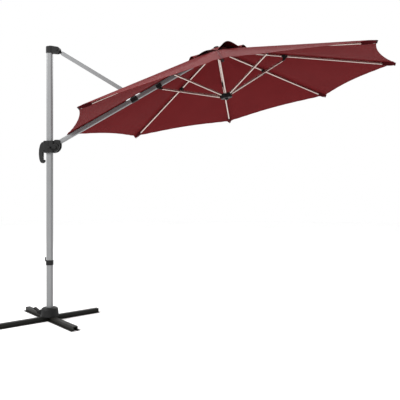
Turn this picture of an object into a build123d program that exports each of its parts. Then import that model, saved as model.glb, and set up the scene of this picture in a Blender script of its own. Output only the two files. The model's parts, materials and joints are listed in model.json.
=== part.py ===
from build123d import *
import math
import os

# Offset patio umbrella on a swivelling cross base, in millimetres.
# Origin: on the ground under the mast axis. +Z is up, +X points from the mast towards the canopy.
# The boom carries the canopy and is its eighth rib. An upper arm hangs the boom from the mast top,
# and a slider lets the boom's foot run down the mast. The canopy stands open and tilted.

# ---------------------------------------------------------------- driving dimensions
RUN = 0.3            # air between parts that move past each other
FIT = 0.05           # radial clearance of a pin in its hole
SEAT = 0.3           # air under a soft or dropped-on part
SNUG = 0.1           # air beside a plug or a saddle that is riveted in place
BEYOND = 60.0        # how far an open cut runs past what it cuts

# Base cross
BAR_REACH = 500.0    # mast axis to the end of each arm
BAR_TOP = 42.0       # width of the raised rib of the hat section
BAR_FLANGE = 78.0    # width over the two feet
BAR_HEIGHT = 40.0
BAR_WALL = 6.5
PLATE_RADIUS = 75.0
PLATE_THICK = 8.0
BOLT_CIRCLE = 62.0
BOLT_RADIUS = 5.0
BOLT_HEX = 8.5       # across a head's or a nut's corners, halved
BOLT_HEAD = 6.0
NUT_HEIGHT = 8.0
BOLT_TAIL = 12.0     # shank below the bar's top wall
RING_RADIUS = 50.0
RING_BORE = 30.0
POST_FOOT = 5.0      # thickness of the post's welded foot
RING_THICK = 8.0
NOTCHES = 12
NOTCH_WIDTH = 12.0
NOTCH_DEPTH = 10.0
POST_RADIUS = 19.0
POST_WALL = 4.0
POST_HEIGHT = 330.0

# Mast
MAST_X = 56.0
MAST_Y = 46.0
MAST_CORNER = 13.0
MAST_WALL = 1.8
MAST_FOOT = 62.0
MAST_JOINT = 530.0
MAST_TOP = 2500.0
SPIGOT_HALF = 100.0
SPIGOT_WALL = 3.0
BUSH_HEIGHT = 38.0
BUSH_FLANGE = 5.0
BUSH_INSET = 10.0    # upper bush below the post's end
COLLAR_LOW = 508.0
COLLAR_HEIGHT = 45.0
COLLAR_WALL = 3.7
HOOK_RISE = 27.0
HOOK_THICK = 7.0
HOOK_WIDTH = 16.0
HOOK_GAP = 9.0
HOOK_ROOT = 18.0     # height of the hook's root on the collar
HOOK_BEND = 10.0
HOOK_EASE = 3.0
CAP_WALL = 4.0
CAP_BELOW = 40.0
CAP_ABOVE = 24.0
CAP_ROUND = 12.0
CAP_FORK = 24.0      # half width over the cap's fork
CAP_CLEAR = 4.0      # cap's fork behind the arm's eye
HEAD_THICK = 4.0     # heads of the arm's pin

# Cover over the swivel, and its pedal
COVER_FOOT_RADIUS = 82.0
COVER_TOP_RADIUS = 74.0
COVER_TOP = 118.0
COVER_ROUND = 20.0
COVER_WALL = 3.0
COVER_LIFT = 1.0     # cover above the cross
PEDAL_PIVOT_OUT = 98.0
PEDAL_PIVOT_HEIGHT = 76.0
PEDAL_WIDTH = 50.0
PEDAL_PIN_RADIUS = 3.0
PEDAL_EAR_RADIUS = 13.0
PEDAL_EAR_WALL = 6.0
PEDAL_EAR_LOW = 12.0 # root of the ears above the cover's foot
PEDAL_EAR_TALL = 40.0
PEDAL_EAR_SUNK = 8.0
PEDAL_THICK = 7.0
PEDAL_REACH = 54.0
PEDAL_RISE = 42.0
TONGUE_WIDTH = 10.0
TONGUE_SWING = 5.0   # room for the tongue to swing up out of its notch
TONGUE_THICK = 5.0
TONGUE_LIFT = 1.0    # tongue above the plate
WINDOW_ABOVE = 18.0  # cover's window above the pedal's pin
WINDOW_BACK = 40.0   # mast axis to the window's inner end

# Arm linkage in the X-Z plane
PIVOT_OUT = 72.0     # mast axis to the arm's and the boom's mast-side pivots
ARM_PIVOT_DROP = 16.0 # arm's upper pivot below the mast's top
ARM_PIVOT_Z = MAST_TOP - ARM_PIVOT_DROP
BOOM_SLOPE = 28.9
CLAMP_REACH = 820.0  # boom pivot to the arm clamp, along the boom
BOOM_LENGTH = 1640.0 # boom pivot to crown pivot
BOOM_WIDTH = 32.0
BOOM_DEPTH = 40.0
CLAMP_RAISE = 16.0   # arm's lower pivot above the boom's top face
CLAMP_RISE = BOOM_DEPTH / 2 + CLAMP_RAISE  # and above its centre line
BOOM_CORNER = 6.0
BOOM_WALL = 1.5
FOOT_RADIUS = 18.0
FOOT_LENGTH = 34.0
HEAD_START = 30.0    # crown pivot to the boom tube's end
BOOM_PIN_RADIUS = 5.0
ARM_WIDTH = 20.0
ARM_DEPTH = 36.0
ARM_CORNER = 5.0
ARM_WALL = 1.5
ARM_END_LENGTH = 50.0
ARM_EYE_RADIUS = 11.0
ARM_PIN_RADIUS = 4.0
EAR_WALL = 6.0
CAP_EAR_RADIUS = 30.0
CLAMP_WALL = 3.8
CLAMP_HALF = 32.0
CLAMP_EAR_RADIUS = 13.0
CLAMP_SHOULDER = 10.0
CLAMP_HEAD = 7.0
CLAMP_HEAD_THICK = 3.0
PLUG_DEPTH = 36.0    # how far an end plug reaches into its tube

# Crown, ribs, struts and lower hub
CANOPY_TILT = 11.6
CROWN_PIVOT = 38.0   # rib pivot radius
CROWN_RADIUS = 54.0
CROWN_CORE = 27.0
CROWN_TOP = 16.0
CROWN_FOOT = 30.0
BOOM_PROUD = 8.0     # boom's top face above the rib pivots, at the crown
BOOM_DROP = BOOM_DEPTH / 2 - BOOM_PROUD    # boom pivot below the rib pivots, along the crown axis
RIBS = 8             # boom included
RIB_REACH = 1529.0   # rib pivot to rib end
RIB_WIDTH = 14.0
RIB_DEPTH = 20.0
RIB_CORNER = 4.0
RIB_WALL = 0.75
ROOT_LENGTH = 30.0
ROOT_RADIUS = 10.0
RIB_PIN_RADIUS = 2.5
STRUT_REACH = 565.0  # rib pivot to strut joint, along the rib
STRUT_HANG = 12.0    # strut joint below the underside of the boom
STRUT_DROP = BOOM_DEPTH / 2 + STRUT_HANG   # strut joint below the centre line of boom and rib
STRUT_WIDTH = 12.0
STRUT_DEPTH = 18.0
STRUT_CORNER = 4.0
STRUT_WALL = 0.75
STRUT_EYE_RADIUS = 8.0
STRUT_END_LENGTH = 20.0
BRACKET_WALL = 3.0
BRACKET_HALF = 26.0
BRACKET_SHOULDER = 8.0
SADDLE_THICK = 2.6
RIVET_HEAD = 1.5
TIP_LENGTH = 14.0
HUB_RADIUS = 52.0
HUB_CORE = 28.0
HUB_TOP = 12.0
HUB_FOOT = 30.0
HUB_KNOB = 14.0      # knob under the lower hub
HUB_ROUND = 4.0
HUB_PIN_HALF = 11.0
HUB_WALL = 6.0       # plastic left round the hollow core of the crown and the lower hub
POCKET_RADIUS = 3.5  # blind holes between the slots of both
POCKET_OUT = 45.0

# Canopy cloth
CANOPY_RADIUS = 1574.0  # apex to corner, along a rib
SCALLOP = 60.0
CLOTH = 0.6
CLOTH_LIFT = 0.9     # cloth above the rib's top face
CLOTH_START = 85.0
SEAM_GAP = 0.6
CLAMP_HOLE_LENGTH = 150.0
CLAMP_HOLE_WIDTH = 60.0
VENT_RADIUS = 305.0
VENT_RISE = 18.0
VENT_SCALLOP = 10.0
VENT_BORE = 12.0
FINIAL_STEM = 9.0
FINIAL_RADIUS = 24.0
FINIAL_THICK = 8.0
FINIAL_PLATE = 4.0
FINIAL_MARGIN = 8.0  # plate inside the crown's edge
FINIAL_ROUND = 6.0

# Slider, grip and winch
SLIDER_X = 100.0
SLIDER_Y = 84.0
SLIDER_CORNER = 14.0
SLIDER_ABOVE = 22.0  # top of the sleeve above the boom pivot
SLIDER_BELOW = 87.0
SLIDER_BEVEL = 4.0
SLIDER_PLAY = 0.2    # bore beyond the pads
PAD_THICK = 2.8
PAD_HEIGHT = 24.0
PAD_HALF = 9.0
PAD_INSET = 6.0      # pads inside the sleeve's ends
CHEEK_OUTER = 31.0
CHEEK_FRONT = 32.0   # cheek nose beyond the boom pivot
CHEEK_ABOVE = 31.0
CHEEK_ROUND = 66.0
CHEEK_CORNER = 12.0
CHEEK_BACK = 14.0    # cheek's level top behind the boom pivot
CHEEK_SHOULDER = 6.0
CHEEK_INSET = 8.0
FOOT_CLEAR = 2.0     # slot behind the boom's foot
SLOT_FLOOR = 8.0
PIN_HEAD_THICK = 3.0
GRIP_WIDTH = 34.0
GRIP_THICK = 36.0
GRIP_OUT = 98.0      # mast axis to the outside of the grip
GRIP_DROP = 182.0    # boom pivot to the grip's lower end
GRIP_ROOT = 14.0     # top of the grip's root above the boom pivot
GRIP_FALL = 6.0
GRIP_NECK = 20.0
GRIP_BELLY = 6.0
GRIP_CURL = 14.0     # upturned end
GRIP_ROUND = 9.0
WINCH_OUT = 66.0
WINCH_DROP = 42.0
WINCH_RADIUS = 36.0
WINCH_THICK = 20.0
WINCH_WALL = 4.0
WINCH_ROUND = 5.0
WINCH_BOSS = 5.0     # wall of the boss round the shaft
SHAFT_RADIUS = 5.0
REEL_RADIUS = 13.0
REEL_DEPTH = 5.0
REEL_FLANGE = 3.0
CRANK_REACH = 46.0
CRANK_THICK = 9.0
CRANK_RADIUS = 14.0
CRANK_TAPER = 5.0
CRANK_ROUND = 2.0
PEG_RADIUS = 4.0
PEG_HEAD = 2.0       # how far the peg's head stands out, and past the knob
KNOB_RADIUS = 11.0
KNOB_LENGTH = 22.0
KNOB_ROUND = 3.0
SCREW_RADIUS = 7.0
SCREW_SUNK = 6.0
SCREW_HEX = 3.2
SCREW_IN = 10.0      # screws inside the sleeve's edge
SCREW_HIGH = 6.0     # upper and lower screw about the boom pivot
SCREW_LOW = -68.0
SPLIT_WIDTH = 2.0    # parting line between the housing's two halves
SPLIT_DEPTH = 1.5
TRIGGER_DROP = 74.0  # boom pivot to the trigger's pin
TRIGGER_OUT = 14.0   # trigger's pin outside the sleeve
TRIGGER_LENGTH = 30.0
TRIGGER_LEAN = 3.0
TRIGGER_TOP = 5.5
TRIGGER_TOE = 4.0
TRIGGER_HALF = 6.0
TRIGGER_PIN = 2.0
TRIGGER_PIN_HALF = 11.0
TRIGGER_SWING = 8.0  # pocket beyond the trigger's toe

# ---------------------------------------------------------------- worked-out places
boom_dir = Vector(math.cos(math.radians(BOOM_SLOPE)), 0, math.sin(math.radians(BOOM_SLOPE)))
boom_up = Vector(-boom_dir.Z, 0, boom_dir.X)
link_length = math.hypot(CLAMP_REACH, CLAMP_RISE)
link_slope = BOOM_SLOPE + math.degrees(math.atan2(CLAMP_RISE, CLAMP_REACH))
arm_dir = Vector(math.cos(math.radians(link_slope)), 0, -math.sin(math.radians(link_slope)))
arm_up = Vector(-arm_dir.Z, 0, arm_dir.X)
boom_pivot_z = ARM_PIVOT_Z - 2 * link_length * math.sin(math.radians(link_slope))
arm_pivot = Vector(PIVOT_OUT, 0, ARM_PIVOT_Z)
boom_pivot = Vector(PIVOT_OUT, 0, boom_pivot_z)

tilt = math.radians(CANOPY_TILT)
rib_slope = math.radians(BOOM_SLOPE - CANOPY_TILT)
crown_axis = Vector(-math.sin(tilt), 0, math.cos(tilt))
crown_out = Vector(math.cos(tilt), 0, math.sin(tilt))
crown_side = Vector(0, 1, 0)
crown_pivot = boom_pivot + boom_dir * BOOM_LENGTH
crown_centre = crown_pivot + crown_out * CROWN_PIVOT + crown_axis * BOOM_DROP

strut_length = math.hypot(STRUT_REACH, STRUT_DROP)
strut_slope = rib_slope + math.atan2(STRUT_DROP, STRUT_REACH)
hub_drop = 2 * strut_length * math.sin(strut_slope)
hub_centre = crown_centre - crown_axis * hub_drop

bar_top = BAR_HEIGHT
plate_top = bar_top + PLATE_THICK
ring_top = plate_top + RING_THICK
cheek_inner = BOOM_WIDTH / 2 + RUN
ear_inner = ARM_WIDTH / 2 + RUN
cloth_lift = (RIB_DEPTH / 2 + CLOTH_LIFT) / math.cos(rib_slope)
apex = crown_centre + crown_axis * (CROWN_PIVOT * math.tan(rib_slope) + cloth_lift)
pivot_to_apex = CROWN_PIVOT / math.cos(rib_slope)
winch_centre = boom_pivot + Vector(WINCH_OUT - PIVOT_OUT, 0, -WINCH_DROP)


# ---------------------------------------------------------------- shared shapes
def bar(width, depth, corner, start, end):
    """A rounded bar along local X, centred on it."""
    return extrude(Plane.YZ.offset(start) * RectangleRounded(width, depth, corner), end - start)


def tube(width, depth, corner, wall, start, end):
    """The same bar, hollow and open at both ends."""
    inside = bar(width - 2 * wall, depth - 2 * wall, corner - wall, start - 1, end + 1)
    return bar(width, depth, corner, start, end) - inside


def plate(outline, low, high):
    """A flat plate between two Y values; its outline is drawn in X and Z."""
    return extrude(Plane.XZ.offset(-high) * outline, high - low)


def rod(x, z, radius, low, high):
    """A round rod along Y."""
    return plate(Pos(x, z) * Circle(radius), low, high)


def box(x, y, z):
    """A block from three (low, high) pairs."""
    size = [high - low for low, high in (x, y, z)]
    middle = [(high + low) / 2 for low, high in (x, y, z)]
    return Pos(*middle) * Box(*size)


def column(width, depth, corner, low, high):
    """An upright rounded column, width along X and depth along Y."""
    return extrude(Plane.XY.offset(low) * RectangleRounded(width, depth, corner), high - low)


def disc(radius, low, high):
    """An upright round disc on the Z axis."""
    return extrude(Plane.XY.offset(low) * Circle(radius), high - low)


def ear(x, z, radius, root):
    """Outline of a lug: a round end at (x, z) drawn to a flat root given as an X and a Z range."""
    (x_low, x_high), (z_low, z_high) = root
    block = Pos((x_low + x_high) / 2, (z_low + z_high) / 2) * Rectangle(x_high - x_low, z_high - z_low)
    return make_hull((block + Pos(x, z) * Circle(radius)).edges())


def around(count, phase=0.0):
    """Turns about Z, evenly spaced, in degrees."""
    return [phase + 360.0 / count * i for i in range(count)]


def frame_at(origin, along, up):
    """A local frame: X along a member, Z up out of it."""
    return Plane(origin=origin, x_dir=along, z_dir=up).location


boom_frame = frame_at(boom_pivot, boom_dir, boom_up)
arm_frame = frame_at(arm_pivot, arm_dir, arm_up)
crown_frame = frame_at(crown_centre, crown_out, crown_axis)
hub_frame = frame_at(hub_centre, crown_out, crown_axis)


def radial(number):
    """Outward direction of a rib; rib 0 is the boom, which points back to the mast."""
    turn = math.radians(360.0 / RIBS * number)
    return crown_out * -math.cos(turn) + crown_side * math.sin(turn)


def rib_ray(number):
    """Direction of a rib from the crown to its tip."""
    return radial(number) * math.cos(rib_slope) - crown_axis * math.sin(rib_slope)


def rib_frame(number):
    up = radial(number) * math.sin(rib_slope) + crown_axis * math.cos(rib_slope)
    return frame_at(crown_centre + radial(number) * CROWN_PIVOT, rib_ray(number), up)


def strut_frame(number):
    """X runs from the strut's joint on its rib to its pin in the hub."""
    along = radial(number) * -math.cos(strut_slope) - crown_axis * math.sin(strut_slope)
    up = crown_axis * math.cos(strut_slope) - radial(number) * math.sin(strut_slope)
    start = crown_centre + radial(number) * (CROWN_PIVOT + strut_length * math.cos(strut_slope))
    start = start - crown_axis * (strut_length * math.sin(strut_slope))
    drop = BOOM_DROP if number == 0 else 0.0
    return frame_at(start - crown_axis * drop, along, up)


# ---------------------------------------------------------------- base cross
def hat_section():
    """Half of the section, mirrored: foot, side and top of one sheet, in local Y and Z."""
    half_top = BAR_TOP / 2
    half_flange = BAR_FLANGE / 2
    points = [
        (0, BAR_HEIGHT), (half_top, BAR_HEIGHT), (half_top, BAR_WALL), (half_flange, BAR_WALL),
        (half_flange, 0), (half_top - BAR_WALL, 0), (half_top - BAR_WALL, BAR_HEIGHT - BAR_WALL),
        (0, BAR_HEIGHT - BAR_WALL),
    ]
    half = make_face(Polyline(*points, close=True))
    return half + mirror(half, Plane.YZ)


def base_bar(start, end):
    section = Plane.YZ.offset(start) * hat_section()
    return extrude(section, end - start)


def bolt_places():
    return [Rot(Z=turn) * Pos(BOLT_CIRCLE, 0) for turn in around(4, 45)]


def drilled(shape):
    """Takes the four bolt holes out of a base piece that lies at its final place."""
    for place in bolt_places():
        shape -= place * disc(BOLT_RADIUS + SEAT, 0, ring_top)
    return shape


def base_bar_long():
    return drilled(Rot(Z=45) * base_bar(-BAR_REACH, BAR_REACH))


def base_bar_short():
    near = BAR_FLANGE / 2 + SEAT
    return [drilled(Rot(Z=turn) * base_bar(near, BAR_REACH)) for turn in around(2, 135)]


def centre_plate():
    return drilled(disc(PLATE_RADIUS, bar_top, plate_top))


def base_bolts():
    """Bolt with a hexagon head above the plate and a nut under the bar."""
    hexagon = RegularPolygon(BOLT_HEX, 6)
    nut_top = bar_top - BAR_WALL
    head = extrude(Plane.XY.offset(plate_top) * hexagon, BOLT_HEAD)
    shank = disc(BOLT_RADIUS, nut_top - BOLT_TAIL, plate_top)
    nut = extrude(Plane.XY.offset(nut_top - NUT_HEIGHT) * hexagon, NUT_HEIGHT)
    return [place * (head + shank + nut) for place in bolt_places()]


def lock_ring():
    ring = disc(RING_RADIUS, plate_top, ring_top) - disc(RING_BORE, plate_top, ring_top)
    x_range = (RING_RADIUS - NOTCH_DEPTH, RING_RADIUS + 1)
    notch = box(x_range, (-NOTCH_WIDTH / 2, NOTCH_WIDTH / 2), (plate_top, ring_top))
    for turn in around(NOTCHES):
        ring -= Rot(Z=turn) * notch
    return ring


def pivot_post():
    foot = disc(RING_BORE - SEAT, plate_top, plate_top + POST_FOOT)
    bore = disc(POST_RADIUS - POST_WALL, plate_top + POST_FOOT, plate_top + POST_HEIGHT)
    return foot + disc(POST_RADIUS, plate_top, plate_top + POST_HEIGHT) - bore


# ---------------------------------------------------------------- mast
def mast_length(low, high):
    """One length of the mast extrusion."""
    width, depth = mast_bore()
    inner = column(width, depth, MAST_CORNER - MAST_WALL, low, high)
    return column(MAST_X, MAST_Y, MAST_CORNER, low, high) - inner


def mast_bore(extra=0.0):
    """Section sizes of the space inside the mast, less a clearance."""
    return MAST_X - 2 * MAST_WALL - extra, MAST_Y - 2 * MAST_WALL - extra


def mast_spigot():
    width, depth = mast_bore(2 * SNUG)
    low, high = MAST_JOINT - SPIGOT_HALF, MAST_JOINT + SPIGOT_HALF
    corner = MAST_CORNER - MAST_WALL - SNUG
    inner = column(width - 2 * SPIGOT_WALL, depth - 2 * SPIGOT_WALL, corner - SPIGOT_WALL, low, high)
    return column(width, depth, corner, low, high) - inner


def swivel_bushes():
    """Two plastic bushes that carry the mast on the post; the lower one has a flange under the mast."""
    width, depth = mast_bore(2 * SNUG)
    corner = MAST_CORNER - MAST_WALL - SNUG
    bore = disc(POST_RADIUS + FIT, 0, plate_top + POST_HEIGHT)
    lower = column(width, depth, corner, MAST_FOOT, MAST_FOOT + BUSH_HEIGHT)
    lower += column(MAST_X, MAST_Y, MAST_CORNER, MAST_FOOT - BUSH_FLANGE, MAST_FOOT)
    top = plate_top + POST_HEIGHT - BUSH_INSET
    upper = column(width, depth, corner, top - BUSH_HEIGHT, top)
    return [lower - bore, upper - bore]


def mast_collar():
    """Clamp ring over the joint, with an upward hook on the side away from the canopy."""
    width = MAST_X + 2 * COLLAR_WALL
    depth = MAST_Y + 2 * COLLAR_WALL
    top = COLLAR_LOW + COLLAR_HEIGHT
    ring = column(width, depth, MAST_CORNER + COLLAR_WALL, COLLAR_LOW, top)
    half = MAST_X / 2
    outside = half + HOOK_GAP + HOOK_THICK
    outline = Polyline(
        (-half - 1, top - HOOK_ROOT), (-outside + HOOK_EASE, top - HOOK_BEND), (-outside, top),
        (-outside, top + HOOK_RISE),
        (-outside + HOOK_THICK, top + HOOK_RISE), (-half - HOOK_GAP, top), (-half - 1, top), close=True,
    )
    ring += plate(make_face(outline), -HOOK_WIDTH / 2, HOOK_WIDTH / 2)
    return ring - column(MAST_X + 2 * SEAT, MAST_Y + 2 * SEAT, MAST_CORNER + SEAT, 0, MAST_TOP)


def mast_cap():
    """Cap over the mast top, with a fork in front that holds the upper arm."""
    width = MAST_X + 2 * CAP_WALL
    depth = MAST_Y + 2 * CAP_WALL
    top = MAST_TOP + CAP_ABOVE
    low = MAST_TOP - CAP_BELOW
    body = column(width, depth, MAST_CORNER + CAP_WALL, low, top)
    body = fillet(body.faces().sort_by(Axis.Z)[-1].edges(), CAP_ROUND)
    body -= column(MAST_X + 2 * SEAT, MAST_Y + 2 * SEAT, MAST_CORNER + SEAT, low, MAST_TOP + SEAT)
    root = ((0, width / 2 - CAP_ROUND), (low, top))
    outer = CAP_FORK
    fork = plate(ear(PIVOT_OUT, ARM_PIVOT_Z, CAP_EAR_RADIUS, root), -outer, outer)
    fork -= column(MAST_X + 2 * SEAT, MAST_Y + 2 * SEAT, MAST_CORNER + SEAT, low - BEYOND, MAST_TOP + SEAT)
    clear = PIVOT_OUT - ARM_EYE_RADIUS - CAP_CLEAR
    slot = box((clear, PIVOT_OUT + BEYOND), (-ear_inner, ear_inner), (low - BEYOND, top + BEYOND))
    hole = rod(PIVOT_OUT, ARM_PIVOT_Z, ARM_PIN_RADIUS, -outer, outer)
    return body + fork - slot - hole


def mast_pins():
    """The arm's pin in the cap's fork and the pedal's pin in the cover's ears."""
    outer = CAP_FORK
    arm_pin = rod(PIVOT_OUT, ARM_PIVOT_Z, ARM_PIN_RADIUS, -outer, outer)
    arm_pin += rod(PIVOT_OUT, ARM_PIVOT_Z, 2 * ARM_PIN_RADIUS, -outer - HEAD_THICK, -outer)
    arm_pin += rod(PIVOT_OUT, ARM_PIVOT_Z, 2 * ARM_PIN_RADIUS, outer, outer + HEAD_THICK)
    side = PEDAL_WIDTH / 2 + RUN + PEDAL_EAR_WALL
    pedal_pin = rod(-PEDAL_PIVOT_OUT, PEDAL_PIVOT_HEIGHT, PEDAL_PIN_RADIUS, -side, side)
    return [arm_pin, pedal_pin]


def base_cover():
    """Moulded cover over the swivel; it turns with the mast and carries the pedal's ears."""
    low = bar_top + COVER_LIFT
    outer = loft([
        Plane.XY.offset(low) * Circle(COVER_FOOT_RADIUS),
        Plane.XY.offset(COVER_TOP) * Circle(COVER_TOP_RADIUS),
    ])
    outer = fillet(outer.faces().sort_by(Axis.Z)[-1].edges(), COVER_ROUND)
    side = PEDAL_WIDTH / 2 + RUN
    ear_low = low + PEDAL_EAR_LOW
    root = ((-COVER_TOP_RADIUS, -COVER_TOP_RADIUS + PEDAL_EAR_SUNK), (ear_low, ear_low + PEDAL_EAR_TALL))
    outline = ear(-PEDAL_PIVOT_OUT, PEDAL_PIVOT_HEIGHT, PEDAL_EAR_RADIUS, root)
    ears = plate(outline, side, side + PEDAL_EAR_WALL) + plate(outline, -side - PEDAL_EAR_WALL, -side)
    inner = loft([
        Plane.XY.offset(low) * Circle(COVER_FOOT_RADIUS - COVER_WALL),
        Plane.XY.offset(COVER_TOP - COVER_WALL) * Circle(COVER_TOP_RADIUS - COVER_WALL),
    ])
    inner = fillet(inner.faces().sort_by(Axis.Z)[-1].edges(), COVER_ROUND - COVER_WALL)
    shell = outer + ears - inner
    shell -= column(MAST_X + 2 * SEAT, MAST_Y + 2 * SEAT, MAST_CORNER + SEAT, low, COVER_TOP + 1)
    window = box(
        (-COVER_FOOT_RADIUS - 4, -WINDOW_BACK), (-TONGUE_WIDTH, TONGUE_WIDTH),
        (low, PEDAL_PIVOT_HEIGHT + WINDOW_ABOVE),
    )
    outside = side + PEDAL_EAR_WALL
    hole = rod(-PEDAL_PIVOT_OUT, PEDAL_PIVOT_HEIGHT, PEDAL_PIN_RADIUS, -outside, outside)
    return shell - window - hole


def foot_pedal():
    """Sloping tread outside the cover, and inside it a tongue that drops into a notch of the ring."""
    x, z = -PEDAL_PIVOT_OUT, PEDAL_PIVOT_HEIGHT
    half = PEDAL_WIDTH / 2
    hub = rod(x, z, PEDAL_EAR_RADIUS - 3, -half, half)
    toe = (x - PEDAL_REACH + PEDAL_THICK, z + PEDAL_RISE - PEDAL_THICK)
    tread = make_hull((Pos(x, z) * Circle(PEDAL_THICK / 2) + Pos(*toe) * Circle(PEDAL_THICK / 2)).edges())
    tread = plate(tread, -half, half)
    tongue_foot = plate_top + TONGUE_LIFT
    tongue_end = -(RING_RADIUS - NOTCH_DEPTH) - TONGUE_SWING
    outline = make_face(Polyline(
        (x, z - 4), (x + 20, z - 8), (tongue_end, ring_top + TONGUE_THICK), (tongue_end, tongue_foot),
        (tongue_end - TONGUE_THICK, tongue_foot), (tongue_end - TONGUE_THICK - 4, ring_top + TONGUE_LIFT),
        (x + 8, z - 4 - TONGUE_THICK), close=True,
    ))
    tongue = plate(outline, -TONGUE_WIDTH / 2, TONGUE_WIDTH / 2)
    hole = rod(x, z, PEDAL_PIN_RADIUS + FIT, -half, half)
    return hub + tread + tongue - hole


# ---------------------------------------------------------------- slider
def cheek_outline():
    """Nose of the housing: level top, and a big round from the nose down to the sleeve's foot."""
    nose = PIVOT_OUT + CHEEK_FRONT
    top = boom_pivot_z + CHEEK_ABOVE
    low = boom_pivot_z - SLIDER_BELOW
    back = 0.0
    turn = math.radians(45)
    centre = (nose - CHEEK_ROUND, low + CHEEK_ROUND)
    middle = (centre[0] + CHEEK_ROUND * math.cos(turn), centre[1] - CHEEK_ROUND * math.sin(turn))
    shoulder = (SLIDER_X / 2 - CHEEK_INSET, boom_pivot_z + SLIDER_ABOVE - CHEEK_SHOULDER)
    outline = [
        Line((back, low), (nose - CHEEK_ROUND, low)),
        ThreePointArc((nose - CHEEK_ROUND, low), middle, (nose, low + CHEEK_ROUND)),
        Line((nose, low + CHEEK_ROUND), (nose, top - CHEEK_CORNER)),
        Line((nose, top - CHEEK_CORNER), (nose - CHEEK_CORNER, top)),
        Line((nose - CHEEK_CORNER, top), (PIVOT_OUT - CHEEK_BACK, top)),
        Line((PIVOT_OUT - CHEEK_BACK, top), shoulder),
        Line(shoulder, (back, shoulder[1])),
        Line((back, shoulder[1]), (back, low)),
    ]
    return make_face(outline)


def slider_housing():
    """Sleeve round the mast, with two cheeks in front that hold the boom's foot and the winch."""
    low, high = boom_pivot_z - SLIDER_BELOW, boom_pivot_z + SLIDER_ABOVE
    body = column(SLIDER_X, SLIDER_Y, SLIDER_CORNER, low, high)
    body = chamfer(body.faces().sort_by(Axis.Z)[-1].edges(), SLIDER_BEVEL)
    outline = cheek_outline()
    body += plate(outline, -CHEEK_OUTER, CHEEK_OUTER)
    slot_back = PIVOT_OUT - FOOT_RADIUS - FOOT_CLEAR
    slot_front = PIVOT_OUT + CHEEK_FRONT + 1
    body -= box((slot_back, slot_front), (-cheek_inner, cheek_inner), (low + SLOT_FLOOR, high + CHEEK_ABOVE))
    bore_x, bore_y = (size + 2 * (PAD_THICK + SLIDER_PLAY) for size in (MAST_X, MAST_Y))
    body -= column(bore_x, bore_y, MAST_CORNER + PAD_THICK, low - 1, high + 1)
    body -= rod(PIVOT_OUT, boom_pivot_z, BOOM_PIN_RADIUS, -CHEEK_OUTER - 1, CHEEK_OUTER + 1)
    body -= rod(WINCH_OUT, winch_centre.Z, SHAFT_RADIUS + FIT, -CHEEK_OUTER - 1, CHEEK_OUTER + 1)
    body -= rod(WINCH_OUT, winch_centre.Z, WINCH_RADIUS + SEAT, -SLIDER_Y / 2 - 1, -CHEEK_OUTER)
    for x, z in screw_places():
        body -= rod(x, z, SCREW_RADIUS + SEAT, -SLIDER_Y / 2 - 1, -SLIDER_Y / 2 + SCREW_SUNK)
    for side in (-1, 1):
        face = side * SLIDER_Y / 2
        y_range = sorted((face + side, face - side * SPLIT_DEPTH))
        body -= box((-SPLIT_WIDTH / 2, SPLIT_WIDTH / 2), y_range, (low - 1, high + 1))
    return body


def screw_places():
    x = -SLIDER_X / 2 + SCREW_IN
    return [(x, boom_pivot_z + height) for height in (SCREW_HIGH, SCREW_LOW)]


def housing_screws():
    """Sunk screw heads that close the housing's two halves."""
    face = -SLIDER_Y / 2
    floor = face + SCREW_SUNK
    socket = Rot(X=90) * extrude(RegularPolygon(SCREW_HEX, 6), SCREW_SUNK / 2)
    heads = []
    for x, z in screw_places():
        head = rod(x, z, SCREW_RADIUS, face + SCREW_SUNK / 3, floor)
        heads.append(head - Pos(x, floor - 1, z) * socket)
    return heads


def glide_pads():
    """Four low-friction pads, two at each end of the sleeve, between it and the mast's narrow sides."""
    inner = MAST_X / 2 + SNUG
    pads = []
    lowest = boom_pivot_z - SLIDER_BELOW + PAD_INSET
    highest = boom_pivot_z + SLIDER_ABOVE - PAD_INSET - PAD_HEIGHT
    for low in (lowest, highest):
        for side in (-1, 1):
            x_range = sorted((side * inner, side * (inner + PAD_THICK)))
            pads.append(box(x_range, (-PAD_HALF, PAD_HALF), (low, low + PAD_HEIGHT)))
    return pads


def boom_pin():
    pin = rod(PIVOT_OUT, boom_pivot_z, BOOM_PIN_RADIUS, -CHEEK_OUTER, CHEEK_OUTER)
    head = rod(PIVOT_OUT, boom_pivot_z, 2 * BOOM_PIN_RADIUS, CHEEK_OUTER, CHEEK_OUTER + PIN_HEAD_THICK)
    return pin + head


def grip_path():
    """Side view of the grip: a bow that leaves the sleeve, hangs down and curls in at the end."""
    outer = -GRIP_OUT
    inner = outer + GRIP_THICK
    top = boom_pivot_z + GRIP_ROOT
    neck = (-SLIDER_X / 2 - GRIP_NECK, top - GRIP_FALL)
    end = boom_pivot_z - GRIP_DROP
    root = -SLIDER_X / 2
    low = boom_pivot_z - SLIDER_BELOW
    outline = [
        Line((root, top), neck),
        ThreePointArc(neck, (outer - 2, (neck[1] + end) / 2 + GRIP_BELLY), (outer + 22, end - 12)),
        ThreePointArc((outer + 22, end - 12), (outer + 42, end - 6), (outer + 56, end + GRIP_CURL)),
        ThreePointArc((outer + 56, end + GRIP_CURL), (outer + 47, end + 23), (inner + 2, end + 26)),
        ThreePointArc((inner + 2, end + 26), (inner - 2, (low + end) / 2), (inner + 4, low - 8)),
        Line((inner + 4, low - 8), (root, low + 4)),
        Line((root, low + 4), (root, top)),
    ]
    return make_face(outline)


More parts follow.
